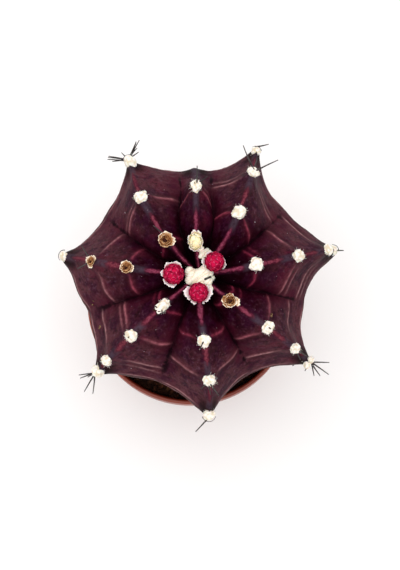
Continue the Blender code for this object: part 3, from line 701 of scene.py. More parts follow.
def woolMaterial(name, pale, shade, size):
    # felted plant wool: no gloss, cream on its curls; the yellower colour between them is painted shade, and
    # the near black in the slit is painted shade too
    made, tree, surface = newMaterial(name, {
        "Roughness": 0.95, "Specular IOR Level": 0.05, "Sheen Weight": 0.15, "Sheen Roughness": 0.6,
        "Subsurface Weight": 0.1, "Subsurface Scale": 0.3 * mm,
    })
    place = addNode(tree, "TexCoord", "Object")
    tufts = addNode(tree, "TexNoise", "Fac", {
        "Vector": place, "Scale": 1 / (size * mm), "Detail": 4.0, "Roughness": 0.65})
    fuzz = addNode(tree, "TexNoise", "Fac", {
        "Vector": place, "Scale": 1 / (areole["fuzz"] * mm), "Detail": 2.0})
    deep = addNode(tree, "Attribute", "Fac", {}, {"attribute_name": "hollow"})
    depth = addNode(tree, "Math", 0, {0: tufts, 1: -0.9, 2: deep}, {"operation": "MULTIPLY_ADD"})
    felt = addNode(tree, "ValToRGB", "Color", {"Fac": depth}, {"stops": ((0.0, pale), (0.55, shade))})
    slit = addNode(tree, "Attribute", "Fac", {}, {"attribute_name": "slit"})
    slit = addNode(tree, "MapRange", "Result", {"Value": slit, "From Min": 0.15, "From Max": 0.45})
    bump = {"Height": fuzz, "Strength": 0.6, "Distance": 0.12 * mm}
    fillSockets(tree, surface, {
        "Base Color": addNode(tree, "Mix", 2, {0: slit, 6: felt, 7: "#080403"}, {"data_type": "RGBA"}),
        "Normal": addNode(tree, "Bump", "Normal", bump)})
    return made


scars = {
    # x, y and size in mm of the corky scabs that the picture shows
    "scabs": ((-23.0, -9.0, 0.6), (20.2, -7.0, 0.65), (-24.9, -3.2, 0.45), (-24.6, -2.4, 0.3)),
    "flecks": ((-16.5, 19.6, 0.22), (-11.5, -15.8, 0.16), (-15.0, -19.5, 0.18), (16.2, 16.3, 0.2)),  # pale
    "scurf": 34, "scurfSize": (0.05, 0.1), "scurfWithin": 26,  # tiny pale dots, mm
    "uneven": 0.25, "narrow": 0.7, "flat": 0.35,  # shares
    "seed": 15,
}


def corkMaterial():
    # healed cork over old wounds: rough, grey brown, in darker and paler patches
    return mottledMaterial("corky_scab", {"Roughness": 0.9, "Specular IOR Level": 0.1}, 0.4,
                           ((0.4, "#3c2418"), (0.62, "#9a7a5a")))


def makeScars(scab, pale, stemTree):
    draw = random.Random(scars["seed"])
    crumb, unit = ballShape(2)
    strewn = []
    for _ in range(scars["scurf"]):
        angle, out = draw.uniform(0, math.tau), scars["scurfWithin"] * math.sqrt(draw.uniform(0.1, 1))
        strewn.append((out * math.cos(angle) + stem["axis"][0], out * math.sin(angle) + stem["axis"][1],
                       draw.uniform(*scars["scurfSize"])))
    strewn = (*scars["flecks"], *strewn)
    for name, spots, material in (("corky_scabs", scars["scabs"], scab), ("scurf", strewn, pale)):
        bm = bmesh.new()
        for x, y, size in spots:
            spot, normal = skinUnder(x * mm, y * mm, stemTree)
            turn = turnTowards(normal) @ Matrix.Rotation(draw.uniform(0, math.tau), 3, "Z")
            form = iter(1 + scars["uneven"] * waves(unit, 1.1, draw.randrange(1000), 6))

            def place(vert):
                local = vert.co * float(next(form))
                local = Vector((local.x, local.y * scars["narrow"], local.z * scars["flat"]))
                vert.co = spot + turn @ local * size * mm

            addShape(bm, crumb, place)
        finishPiece(name, bm, material)


def areolePads():
    # every woolly pad: its rib and areole, where it is, its axes, its half sizes in mm and its flecks
    for number, rib in enumerate(ribs):
        for order, distance in enumerate(rib["areoles"]):
            spot, along, across, normal = crestFrame(number, distance)
            own = padsThatDiffer.get((number, order), {})
            long, wide = (areole["radius"] * share for share in own.get("size", (1, 1)))
            thick = areole["thickness"]
            if distance > areole["tipsFrom"]:
                share = areole["tipSize"] if distance < areole["tipsTo"] else areole["lowSize"]
                long, wide = long * share, wide * share
            if areole["tipsFrom"] < distance < areole["tipsTo"]:
                thick = areole["tipThickness"]
                normal = Vector((0, 0, 1))
                along = across.cross(normal)
                spot = spot + normal * (areole["tipLift"] + own.get("lift", 0)) * mm
            spot = spot + along * own.get("ahead", 0) * mm
            turn = Matrix((along, across, normal)).transposed()
            if (number, order) not in splitPads:
                yield (number, order), spot, turn, (long, wide, thick), own.get("flecks", ())
            for size, aside, ahead in splitPads.get((number, order), ()):
                shifted = spot + (across * aside + along * ahead) * mm
                yield (number, order, aside), shifted, turn, [size * part for part in (long, wide, thick)], ()


def makeAreoleWool(material, dead):
    draw = random.Random(areole["seed"])
    bm, flecks = bmesh.new(), bmesh.new()
    layer = bm.verts.layers.float.new("hollow")
    shape, unit = ballShape(4)
    crumb, _ = ballShape(2)
    pads = {}
    for number, (key, spot, turn, sizes, specks) in enumerate(areolePads()):
        ways = [randomWay(draw) for _ in range(areole["curls"])]
        nearest = (unit @ np.array(ways).T).max(axis=1)
        curl = np.exp((nearest - 1) / areole["curlSpread"])
        share = 1 - areole["curlHeight"] * (1 - curl)
        share += areole["lump"] * waves(unit, areole["lumpSize"], 100 + number)
        share += areole["fluff"] * waves(unit, areole["fluffSize"], 200 + number, 12)
        sizes = [size * draw.uniform(*areole["uneven"]) for size in sizes]
        points = np.array(spot) + (unit * share[:, None] * sizes * mm) @ np.array(turn).T
        moved = iter(zip(points, curl))

        def placeCurl(vert):
            vert.co, high = next(moved)
            # hollow: painted shade between the curls
            vert[layer] = 1 - high

        addShape(bm, shape, placeCurl)
        pads[key] = spot, turn, sizes
        for ahead, aside, share in specks:
            middle = spot + turn @ Vector((ahead, aside, sizes[2] * (1 - 0.2 * (ahead**2 + aside**2)))) * mm
            spin, size = turnTowards(randomWay(draw)), areole["flecks"] * share

            def placeFleck(vert):
                x, y, z = vert.co
                local = Vector((x, y * areole["fleckWidth"], z * areole["fleckHeight"]))
                vert.co = middle + spin @ local * size * mm

            addShape(flecks, crumb, placeFleck)
    finishPiece("areole_wool", bm, material)
    finishPiece("areole_flecks", flecks, dead)
    return pads


hair = {"sides": 3, "cuts": 4, "tip": 0.35, "bend": 0.8}  # of all the wool, the last two as shares


def hairShape():
    return strandShape(hair["sides"], hair["cuts"], hair["tip"])


def addHair(bm, shape, draw, root, way, settings):
    length = draw.uniform(*settings["hairLength"]) * mm
    bend = randomWay(draw) * length * hair["bend"]
    addStrand(bm, shape, root, way, length, settings["hairRadius"] * mm, bend)


def makeAreoleHairs(material, pads):
    draw = random.Random(areole["seed"] + 1)
    shape = hairShape()
    bm = bmesh.new()
    for spot, turn, sizes in pads.values():
        for _ in range(round(areole["hairs"] * sizes[0] / areole["radius"])):
            way = randomWay(draw)
            way.z = abs(way.z) * 0.8 - 0.1
            way.normalize()
            onPad = Vector([part * size for part, size in zip(way, sizes)])
            root = spot + turn @ onPad * areole["hairRoots"] * mm
            heading = turn @ (way * 0.7 + randomWay(draw) * 0.7).normalized()
            addHair(bm, shape, draw, root, heading, areole)
    finishPiece("areole_hairs", bm, material)


# Spines: thin, dark grey, slightly bent; those that the picture shows stand where it shows them

spine = {
    "radius": 0.26, "tip": 0.4,  # mm, and the tip as a share of the root
    "sink": 0.8, "lift": 0.4, "scatter": 0.3, "bend": 0.1,  # mm, and the bend as a share of the length
    # those under the tips, which the picture doesn't show: distances in mm, angles in degrees
    "hiddenFrom": 50, "hidden": (-40, -14, 12, 42), "hiddenSwing": 9,
    "hiddenLength": (2.2, 3.0), "hiddenLift": 24, "hiddenLiftVaries": 8,
    "threadRadius": 0.1, "threadGap": 0.1,  # mm
    "seed": 31,
}

# rib and areole: plan angle from the way the rib runs, anticlockwise, length seen in mm, and rise in degrees
spinesSeen = {
    (0, 3): ((-14, 1.4, 0),),
    (1, 1): ((54, 7.4, -6), (15, 3.4, -8), (-32, 6.6, -6)),
    (1, 2): ((-58, 2.9, -4),),
    (2, 0): ((-3, 5.6, -5), (-63, 3.6, -5)),
    (3, 1): ((26, 2.4, 40), (45, 5.2, 4), (51, 5.6, 0), (56, 4.8, 8), (72, 4.0, -8),
             (-56, 5.4, 6), (-60, 4.8, 12), (-64, 4.2, 0), (-58, 5.0, 2), (-88, 2.9, 2)),
    (5, 3): ((-42, 4.6, 6), (-27, 4.4, 0), (14, 5.2, 4), (46, 5.2, -4), (-18, 2.4, -10)),
    (6, 0): ((-30, 2.6, 25),),
    (6, 1): ((-46, 3.2, -10), (0, 3.2, -20), (36, 4.6, -14)),
    (6, 2): ((-46, 4.5, -4),),
    (7, 1): ((6, 3.6, -28), (-26, 2.8, -24)),
    (7, 2): ((36, 4.4, 4), (3, 5.2, 4), (-24, 4.0, 0), (-45, 3.0, -6), (-78, 2.6, 2)),
}
# threads that curl round the pads at the tips: rib and areole, then from and to in degrees, anticlockwise
# from the way the rib runs
threads = {
    (0, 3): (-10, 75), (1, 2): (-60, 60), (3, 1): (-50, 30), (4, 0): (-95, 60), (6, 2): (-80, 75),
}
# on a dried flower's areole: rib, distance, then the same
flowerSpines = {
    (4, 28.8): ((-52, 4.2, 12), (42, 3.8, 0)),
    (3, 14.4): ((4, 2.6, 20),),
}


def spineMaterial():
    # dried horny spine: dark grey with browner stretches, half gloss
    return mottledMaterial("horny_spine", {"Roughness": 0.5, "IOR": 1.5, "Specular IOR Level": 0.25}, 1.4,
                           ((0.35, "#1f1a19"), (0.6, "#403a38")))


def makeSpines(material, pads):
    draw = random.Random(spine["seed"])
    shape, thread = strandShape(6, 5, spine["tip"]), strandShape(5, 16, 0.6)
    bm = bmesh.new()

    def addSpine(spot, normal, heading, length):
        foot = spot + normal * spine["lift"] * mm - heading * spine["sink"] * mm
        root = foot + randomWay(draw) * spine["scatter"] * mm
        bend = randomWay(draw) * length * spine["bend"] * mm
        addStrand(bm, shape, root, heading, (length + spine["sink"]) * mm, spine["radius"] * mm, bend)

    def addSeen(rib, distance, spread):
        spot, _, _, normal = crestFrame(rib, distance)
        bearing = float(bearingAt(rib, levelAt(distance)))
        for splay, length, rise in spread:
            angle, up = bearing + math.radians(splay), math.radians(rise)
            flat = math.cos(up)
            heading = Vector((math.cos(angle) * flat, math.sin(angle) * flat, math.sin(up)))
            addSpine(spot, normal, heading, length / flat)

    def addHidden(rib, distance):
        spot, along, across, normal = crestFrame(rib, distance)
        for splay in spine["hidden"]:
            swing = math.radians(splay + draw.uniform(-1, 1) * spine["hiddenSwing"])
            lift = math.radians(spine["hiddenLift"] + draw.uniform(-1, 1) * spine["hiddenLiftVaries"])
            flat = along * math.cos(swing) + across * math.sin(swing)
            heading = flat * math.cos(lift) + normal * math.sin(lift)
            addSpine(spot, normal, heading, draw.uniform(*spine["hiddenLength"]))

    for number, rib in enumerate(ribs):
        for order, distance in enumerate(rib["areoles"]):
            if (number, order) in spinesSeen:
                addSeen(number, distance, spinesSeen[(number, order)])
            elif distance > spine["hiddenFrom"]:
                addHidden(number, distance)
    for (number, distance), spread in flowerSpines.items():
        addSeen(number, distance, spread)
    for (number, order), (start, end) in threads.items():
        spot, turn, sizes = pads[(number, order)]

        def place(vert):
            x, y, t = vert.co
            angle = math.radians(start + (end - start) * t)
            out = spine["threadGap"] + x * spine["threadRadius"]
            way = Vector((math.cos(angle), math.sin(angle), 0))
            local = Vector((way.x * sizes[0], way.y * sizes[1], y * spine["threadRadius"])) + way * out
            vert.co = spot + turn @ local * mm

        addShape(bm, thread, place)
    finishPiece("spines", bm, material)


# Crown wool: soft lobes of felt between the buds, and the torn husks of wool that the buds broke out of

crown = {
    "voxel": 0.15, "smoothings": 14, "sink": 0.3,  # mm, of the felt's mesh, and how deep the lobes sit
    "folds": 0.24, "foldSize": 2.2, "foldTurn": 35, "fluff": 0.025, "fluffSize": 0.5,  # mm
    "hairs": 240, "hairLength": (0.25, 0.5), "hairRadius": 0.035, "hairSink": 0.1,  # mm
    # mm and degrees, a slit in the wool, sunk and filled with painted shade
    "slit": (4.44, 1.85), "slitTurn": 24, "slitLength": 1.0, "slitWidth": 0.24, "slitDepth": 0.9,
    "sheet": 0.16, "footDepth": 0.4, "overhang": 0.25,  # mm, the husks' thickness, depth in the felt and curl
    "seed": 41,
}
# Lobes: x, y and radius in mm, and how far their middles stand above the skin in mm
lobes = (
    (0.1, 3.3, 1.5, 1.1), (2.2, 2.9, 1.8, 1.4), (4.2, 3.1, 1.6, 1.3), (-0.1, 1.5, 1.35, 1.0),
    (2.1, 1.3, 1.5, 1.2), (4.4, 1.0, 1.3, 1.1), (5.0, 2.2, 1.15, 1.2), (1.1, 2.3, 1.5, 1.3),
    (3.5, 2.0, 1.5, 1.2), (3.5, 4.7, 1.0, 0.7),
    (2.9, 7.5, 0.9, 0.8), (3.4, 8.2, 1.15, 1.2), (2.6, 9.0, 1.0, 1.2), (4.4, 8.5, 1.0, 1.0),
    (-1.0, -1.9, 0.75, 0.4), (5.0, -0.6, 0.85, 0.6), (4.8, -1.6, 0.7, 0.5),
)
# Husks: round each bud, from and to in degrees anticlockwise, how far out they stand and how high, in mm
husks = {
    "bud_left": ((30, 156, 0.5, 1.9), (150, 194, 0.45, 1.6), (200, 292, 0.6, 1.8)),
    "bud_right": ((-74, 40, 0.25, 1.8), (44, 96, 0.35, 1.6), (90, 152, 0.45, 1.8), (150, 215, 0.6, 1.8)),
    "bud_front": ((138, 224, 1.0, 1.6), (222, 262, 0.5, 1.2), (258, 306, 0.45, 1.2), (302, 410, 0.85, 1.7)),
    "bud_pale": ((-80, 40, -0.1, 1.7), (35, 85, 0.3, 2.5), (80, 130, 0.4, 2.2), (125, 200, 0.1, 1.9),
                 (195, 290, 0.0, 1.7)),
}


def turnedAxes(points, degrees):
    # how far each point lies along a line at this angle, and to the left of it
    turn = math.radians(degrees)
    x, y = points[:, 0], points[:, 1]
    return x * math.cos(turn) + y * math.sin(turn), y * math.cos(turn) - x * math.sin(turn)


def makeCrownWool(material, stemTree):
    shape, _ = ballShape(4)
    bm = bmesh.new()
    for x, y, radius, rise in lobes:
        middle = skinUnder(x * mm, y * mm, stemTree)[0] + Vector((0, 0, (rise - crown["sink"]) * mm))

        def place(vert):
            vert.co = middle + vert.co * radius * mm

        addShape(bm, shape, place)
    felt = addObject("felt", shapeOf(bm))
    melt = felt.modifiers.new("melt", "REMESH")
    melt.mode = "VOXEL"
    melt.voxel_size = crown["voxel"] * mm
    bm = applied(felt)
    axes = {"use_axis_x": True, "use_axis_y": True, "use_axis_z": True}
    for _ in range(crown["smoothings"]):
        bmesh.ops.smooth_vert(bm, verts=bm.verts, factor=0.5, **axes)
    bm.normal_update()
    points = coordinates(bm)
    normals = np.array([vert.normal for vert in bm.verts])
    along, over = turnedAxes(points, crown["foldTurn"])
    folds = waves(np.stack((along * 0.4, over, points[:, 2] * 0.4), axis=1), crown["foldSize"] * mm, 5, 6)
    creased = abs(folds) ** 0.7 - 0.8
    relief = crown["folds"] * creased + crown["fluff"] * waves(points, crown["fluffSize"] * mm, 6, 14)
    run, gap = turnedAxes(points[:, :2] / mm - crown["slit"], crown["slitTurn"])
    # the slit: a dent in the felt that the material fills with painted shade
    slit = np.exp(-(run / crown["slitLength"]) ** 6 - (gap / crown["slitWidth"]) ** 2) * (normals[:, 2] > 0)
    moved = points + normals * relief[:, None] * mm
    moved[:, 2] -= slit * crown["slitDepth"] * mm
    moveTo(bm, moved)
    roots = [(vert.co.copy(), vert.normal.copy()) for vert in bm.verts if vert.normal.z > -0.1]
    # hollow: painted shade in the creases of the folds
    fields = {"slit": slit, "hollow": np.clip(0.35 - creased * 0.6, 0, 1)}
    finishPiece("crown_felt", bm, material, ("crown_wool",), attributes=fields)
    return roots


def makeHusks(material, stemTree):
    draw = random.Random(crown["seed"] + 1)
    shape = sheetShape(28, 8)
    bm = bmesh.new()
    layer = bm.verts.layers.float.new("hollow")
    for node, torn in husks.items():
        middle, radius, narrow = budPlace(node)
        foot = skinUnder(middle.x, middle.y, stemTree)[0].z - crown["footDepth"] * mm
        for start, end, out, high in torn:
            mid, half = math.radians(start + end) / 2, math.radians(end - start) / 2
            phase = [draw.uniform(0, math.tau) for _ in range(4)]

            def place(vert):
                s, t, through = vert.co
                angle = mid + s * half
                tear = 1 - 0.6 * abs(s) ** 5 - 0.08 * (1 + math.sin(angle * 6 + phase[0]))
                tear -= 0.05 * math.sin(angle * 17 + phase[1]) + 0.04 * math.sin(angle * 31 + phase[2])
                t = t * tear
                flat = radius * (0.72 + 0.3 * t) + (out * t**1.6 + through * crown["sheet"]) * mm
                flat += 0.07 * mm * math.sin(angle * 9 + phase[3]) * t
                rise = (high + crown["footDepth"]) * t - crown["overhang"] * t**6 - through * 0.05
                vert.co = (middle.x + flat * math.cos(angle) * narrow, middle.y + flat * math.sin(angle),
                           foot + rise * mm)
                # hollow: painted shade low on each husk and in its folds
                vert[layer] = 0.3 * (1 - t) + 0.12 * math.sin(angle * 9 + phase[3])

            addShape(bm, shape, place)
    finishPiece("bud_husks", bm, material)


def makeCrownHairs(material, roots):
    draw = random.Random(crown["seed"])
    shape = hairShape()
    bm = bmesh.new()
    for _ in range(crown["hairs"]):
        root, normal = draw.choice(roots)
        way = (normal + randomWay(draw) * 1.2).normalized()
        addHair(bm, shape, draw, root - way * crown["hairSink"] * mm, way, crown)
    finishPiece("crown_hairs", bm, material)


# Flower buds: tight scales laid in a spiral, each with a paler rim that is partly its own colour and partly a
# painted highlight

crimsonBud = {
    "scales": 38, "turn": 137.5,  # degrees from one scale to the next
    "topAngle": 4, "footAngle": 118,  # degrees from the top, of the first and the last scale's tip
    "length": 46, "halfWidth": 29,  # degrees of arc
    "shell": (0.82, 0.1), "thickness": 0.06, "lift": 0.17, "torn": 0,  # shares of the bud's radius, mm
    "seed": 51,
}
paleBud = {
    "scales": 18, "turn": 137.5,
    "topAngle": 10, "footAngle": 112,
    "length": 62, "halfWidth": 34,
    "shell": (0.76, 0.1), "thickness": 0.08, "lift": 0.14, "torn": 0.12,
    "seed": 57,
}
# Against its solid, each bud's shift in mm and its size, and its width as a share of its length
budsSeen = {
    "bud_left": {"shift": (0.15, -0.33), "size": 0.98, "narrow": 1},
    "bud_right": {"shift": (-0.08, -0.45), "size": 0.94, "narrow": 1},
    "bud_front": {"shift": (-0.1, 0), "size": 0.93, "narrow": 1},
    "bud_pale": {"shift": (-0.35, -0.85), "size": 1.04, "narrow": 0.78},
}


def budPlace(node):
    # the middle, the radius and the narrowness of a bud, from its solid
    low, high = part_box(node)
    radius = (high.x - low.x + high.y - low.y) / 4
    middle = Vector(((low.x + high.x) / 2, (low.y + high.y) / 2, high.z - radius * 1.02))
    own = budsSeen[node]
    return middle + Vector((*own["shift"], 0)) * mm, radius * own["size"], own["narrow"]


def makeBud(node, material, settings):
    draw = random.Random(settings["seed"] + len(node))
    middle, radius, narrow = budPlace(node)
    bm = bmesh.new()
    layer = bm.verts.layers.float.new("rim")
    shape = sheetShape(6, 7)
    spin = draw.uniform(0, math.tau)
    length, half = math.radians(settings["length"]), math.radians(settings["halfWidth"])
    for number in range(settings["scales"]):
        share = (number / (settings["scales"] - 1)) ** 0.6
        tip = math.radians(settings["topAngle"] + (settings["footAngle"] - settings["topAngle"]) * share)
        around = spin + math.radians(settings["turn"]) * number
        shell = radius * (settings["shell"][0] + settings["shell"][1] * share + draw.uniform(-0.01, 0.01))
        wave = draw.uniform(0, math.tau)

        def place(vert):
            # an oval sheet bent over a ball, its tip towards the top
            s, t, through = vert.co
            width = half * math.sin(math.pi * (0.25 + 0.6 * t)) ** 0.7 * (1 - 0.4 * t**3)
            polar = tip + (1 - t) * length - 0.35 * half * (1 - s * s) * t
            polar += settings["torn"] * math.sin(s * 9 + wave) * t**3
            turn = around + s * width / max(math.sin(max(polar, 0.05)), 0.35)
            out = shell + (settings["lift"] * t**2 + settings["thickness"] * through) * mm
            out += 0.04 * radius * (1 - s * s) * t
            flat = out * math.sin(polar)
            spread = Vector((flat * math.cos(turn) * narrow, flat * math.sin(turn), out * math.cos(polar)))
            vert.co = middle + spread
            # rim: above 0 a paler rim with a painted highlight, below 0 painted shade low on the bud
            vert[layer] = 1.1 * max(t**6, 0.8 * abs(s) ** 5) * (1 - 0.35 * share) - 0.4 * share

        addShape(bm, shape, place)
    core, _ = ballShape(4)

    def placeCore(vert):
        vert.co.x *= narrow
        vert.co = middle + vert.co * radius * (settings["shell"][0] - 0.02)

    addShape(bm, core, placeCore)
    finishPiece(node + "_scales", bm, material, (node,))


def budMaterial(name, deep, body, rim, size):
    # a living bud scale: smooth, soft, paler at its thin rim, partly its own colour and partly a painted
    # highlight, and darker low on the bud with painted shade
    made, tree, surface = newMaterial(name, {
        "Roughness": 0.6, "IOR": 1.4, "Specular IOR Level": 0.06,
        "Subsurface Weight": 0.08, "Subsurface Scale": 0.25 * mm,
    })
    place = addNode(tree, "TexCoord", "Object")
    noise = addNode(tree, "TexNoise", "Fac", {"Vector": place, "Scale": 1 / (size * mm), "Detail": 3.0})
    edge = addNode(tree, "Attribute", "Fac", {}, {"attribute_name": "rim"})
    color = addNode(tree, "ValToRGB", "Color", {"Fac": noise}, {"stops": ((0.35, deep), (0.62, body))})
    # the paler rim with its painted highlight, then the painted shade low on the bud
    for start, end, most, paint in ((0.3, 1.0, 1.0, rim), (-0.1, -0.5, 0.75, deep)):
        amount = addNode(tree, "MapRange", "Result", {
            "Value": edge, "From Min": start, "From Max": end, "To Max": most})
        color = addNode(tree, "Mix", 2, {0: amount, 6: color, 7: paint}, {"data_type": "RGBA"})
    bump = addNode(tree, "Bump", "Normal", {"Height": noise, "Strength": 0.3, "Distance": 0.1 * mm})
    fillSockets(tree, surface, {"Base Color": color, "Normal": bump})
    return made


# Dried flowers: papery brown cups, crumpled and folded in on themselves

dried = {
    # rings of petals: how many, their size and height as shares of the flower, half width in degrees,
    # curl inwards and how pale they are
    "rings": ((4, 0.98, 0.5, 66, 0.12, 0.62), (4, 0.78, 0.62, 56, 0.4, 0.3), (3, 0.52, 0.5, 62, 0.45, 0.16),
              (3, 0.3, 0.34, 60, 0.3, 0.08)),
    "varies": ((0.92, 1.06), (0.85, 1.2), (0.85, 1.1), (0.5, 1.5), (0.6, 1.5)),  # from petal to petal
    "thickness": 0.1, "crumple": 0.06, "lip": 0.14, "offCentre": 0.16,  # mm, shares
    "lift": 0.5, "core": 0.4, "coreUneven": 0.1,  # mm, shares
    "flap": (1.1, 0.32, 36, -0.12, 0.8), "size": 0.8,  # size, height, half width, curl, paleness
    "stops": ((0.26, "#34140b"), (0.42, "#643016"), (0.7, "#b07a4a"), (0.95, "#e2c29a"), (1.0, "#f6e6d2")),
    "seed": 61,
}
# Where each flower stands against its solid, ahead along the rib and to its left in mm, and its torn pale
# flaps, in degrees from the way the rib runs, anticlockwise
flowersSeen = {
    "dried_flower_upper_left": {"shift": (0, 0.5), "flaps": (-146,)},
    "dried_flower_lower_right": {"shift": (0.85, -0.35), "flaps": (42,)},
    "dried_flower_left_inner": {"shift": (0, 0.2), "flaps": (170,)},
    "dried_flower_left_outer": {"shift": (-0.4, 0.3), "flaps": (-130, 84, -30)},
}


def makeDriedFlower(node, material):
    rib, distance, radius = driedFlowers[node]
    radius *= dried["size"]
    draw = random.Random(dried["seed"] + len(node))
    spot, along, across, normal = crestFrame(rib, distance)
    ahead, aside = flowersSeen[node]["shift"]
    spot = spot + (normal * dried["lift"] + along * ahead + across * aside) * mm
    turn = Matrix((along, across, normal)).transposed()
    bm = bmesh.new()
    layer = bm.verts.layers.float.new("rim")
    shape = sheetShape(12, 10)

    def addPetal(around, size, tall, half, curl, pale, shift=(0, 0)):
        wave, lean, twist = draw.uniform(0, math.tau), draw.uniform(-0.08, 0.08), draw.uniform(-0.12, 0.12)

        def place(vert):
            s, t, through = vert.co
            width = math.radians(half) * math.sin(math.pi * (0.2 + 0.62 * t)) ** 0.8
            out = 0.3 + 0.75 * math.sin(t * 1.9) - curl * t**3 + (lean + twist * s) * t + dried["lip"] * t**10
            out = size * out + through * dried["thickness"] / radius
            crumple = dried["crumple"] * (math.sin(s * 5 + wave) + math.sin(s * 9 - t * 4 + wave * 3)) * t
            up = tall * (t - 0.18 * s * s * t) + crumple - 0.05 * t**10
            angle = around + s * width
            local = Vector(((out + crumple) * math.cos(angle), (out + crumple) * math.sin(angle), up))
            local += Vector((*shift, 0)) * t
            vert.co = spot + turn @ local * radius * mm
            rim = max(t**5, 0.8 * abs(s) ** 8)
            vert[layer] = pale * (0.35 + 0.65 * t) + (1.0 - pale) * rim * (0.2 + 0.6 * pale)

        addShape(bm, shape, place)

    for count, size, tall, half, curl, pale in dried["rings"]:
        spin = draw.uniform(0, math.tau)
        shift = [draw.uniform(-1, 1) * dried["offCentre"] * (1 - size) for _ in range(2)]
        for number in range(count):
            around = spin + math.tau * number / count + draw.uniform(-0.25, 0.25)
            own = [value * draw.uniform(*varies)
                   for value, varies in zip((size, tall, half, curl, pale), dried["varies"])]
            addPetal(around, *own, shift)
    for bearing in flowersSeen[node]["flaps"]:
        addPetal(math.radians(bearing), *dried["flap"])
    core, unit = ballShape(3)
    lumps = iter(dried["core"] + dried["coreUneven"] * waves(unit, 0.9, 300 + rib, 10))

    def placeCore(vert):
        local = vert.co * float(next(lumps)) * radius * mm
        vert.co = spot + turn @ local

    addShape(bm, core, placeCore)
    finishPiece(node + "_petals", bm, material, (node,))


def driedMaterial():
    # dead petals: papery, cream at the torn rims, tan below them and dark brown inside
    made, tree, surface = newMaterial("papery_dead_petals", {"Roughness": 0.8, "Specular IOR Level": 0.15})
    place = addNode(tree, "TexCoord", "Object")
    noise = addNode(tree, "TexNoise", "Fac", {
        "Vector": place, "Scale": 1 / (0.55 * mm), "Detail": 4.0, "Roughness": 0.7})
    edge = addNode(tree, "Attribute", "Fac", {}, {"attribute_name": "rim"})
    amount = addNode(tree, "Math", 0, {0: noise, 1: 0.5, 2: edge}, {"operation": "MULTIPLY_ADD"})
    bump = {"Height": noise, "Strength": 0.6, "Distance": 0.12 * mm}
    fillSockets(tree, surface, {
        "Base Color": addNode(tree, "ValToRGB", "Color", {"Fac": amount}, {"stops": dried["stops"]}),
        "Normal": addNode(tree, "Bump", "Normal", bump)})
    return made


# Pot: a thin moulded nursery pot of terracotta-coloured polypropylene

pot = {
    "wall": 1.1, "lip": 1.2, "collar": 8, "step": 1.2, "baseRadius": 19.5, "baseEdge": 0.8, "foot": 0.3,  # mm
    "fillet": 0.8, "collarEdge": 0.45,  # mm, roundings inside at the base and under the collar
    "ring": 3, "ringSlope": 0.4,  # mm, the standing ring under the base
    "innerShade": 26.9, "innerShadeFades": 0.6, "innerShadeFrom": 43,  # mm from the axis and up, where painted shade darkens the inside wall
    "drainHoles": 6, "drainRadius": 2.0, "drainRing": 12.5, "drill": 6,  # mm
    "segments": 144,
}


def arc(middleX, middleZ, radius, start, end, steps):
    return [(middleX + radius * math.cos(math.radians(a)), middleZ + radius * math.sin(math.radians(a)))
            for a in np.linspace(start, end, steps)]


def makePot(material):
    low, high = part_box("pot")
    rim, height = (high.x - low.x) / 2 / mm, high.z / mm
    collarFoot = height - pot["collar"]
    lip = pot["lip"] / 2

    def wallRadius(z):
        return pot["baseRadius"] + (rim - pot["step"] - pot["baseRadius"]) * z / collarFoot

    edge, wall, under = pot["baseEdge"], pot["wall"], pot["collarEdge"]
    profile = [(0.001, wall), (wallRadius(wall) - wall - pot["fillet"], wall)]
    profile += [(wallRadius(2) - wall, wall + pot["fillet"])]
    profile += [(wallRadius(collarFoot) - wall, collarFoot - 0.6), (rim - pot["lip"], collarFoot + 0.6)]
    profile += arc(rim - lip, height - lip, lip, 180, 0, 13)
    profile += arc(rim - under, collarFoot + under, under, 0, -90, 5)
    profile += [(wallRadius(collarFoot) + 0.15, collarFoot), (wallRadius(collarFoot), collarFoot - 0.15)]
    profile += [(wallRadius(edge), edge)] + arc(wallRadius(0) - edge, edge, edge, 0, -90, 6)[1:]
    ring = wallRadius(0) - pot["ring"]
    profile += [(ring, 0.0), (ring - pot["ringSlope"], pot["foot"]), (0.001, pot["foot"])]
    bm = turned([(x * mm, z * mm) for x, z in profile], pot["segments"], 0.005 * mm)
    body = addObject("body", shapeOf(bm))
    bm = bmesh.new()
    for number in range(pot["drainHoles"]):
        angle = math.tau * number / pot["drainHoles"]
        spot = Vector((math.cos(angle), math.sin(angle), 0)) * pot["drainRing"] * mm
        bmesh.ops.create_cone(bm, cap_ends=True, segments=32, radius1=pot["drainRadius"] * mm,
                              radius2=pot["drainRadius"] * mm, depth=pot["drill"] * mm,
                              matrix=Matrix.Translation(spot))
    drill = addObject("drill", shapeOf(bm))
    holes = body.modifiers.new("holes", "BOOLEAN")
    holes.operation = "DIFFERENCE"
    holes.object = drill
    bm = applied(body)
    bpy.data.objects.remove(drill)
    finishPiece("nursery_pot", bm, material, ("pot",), sharp=35)


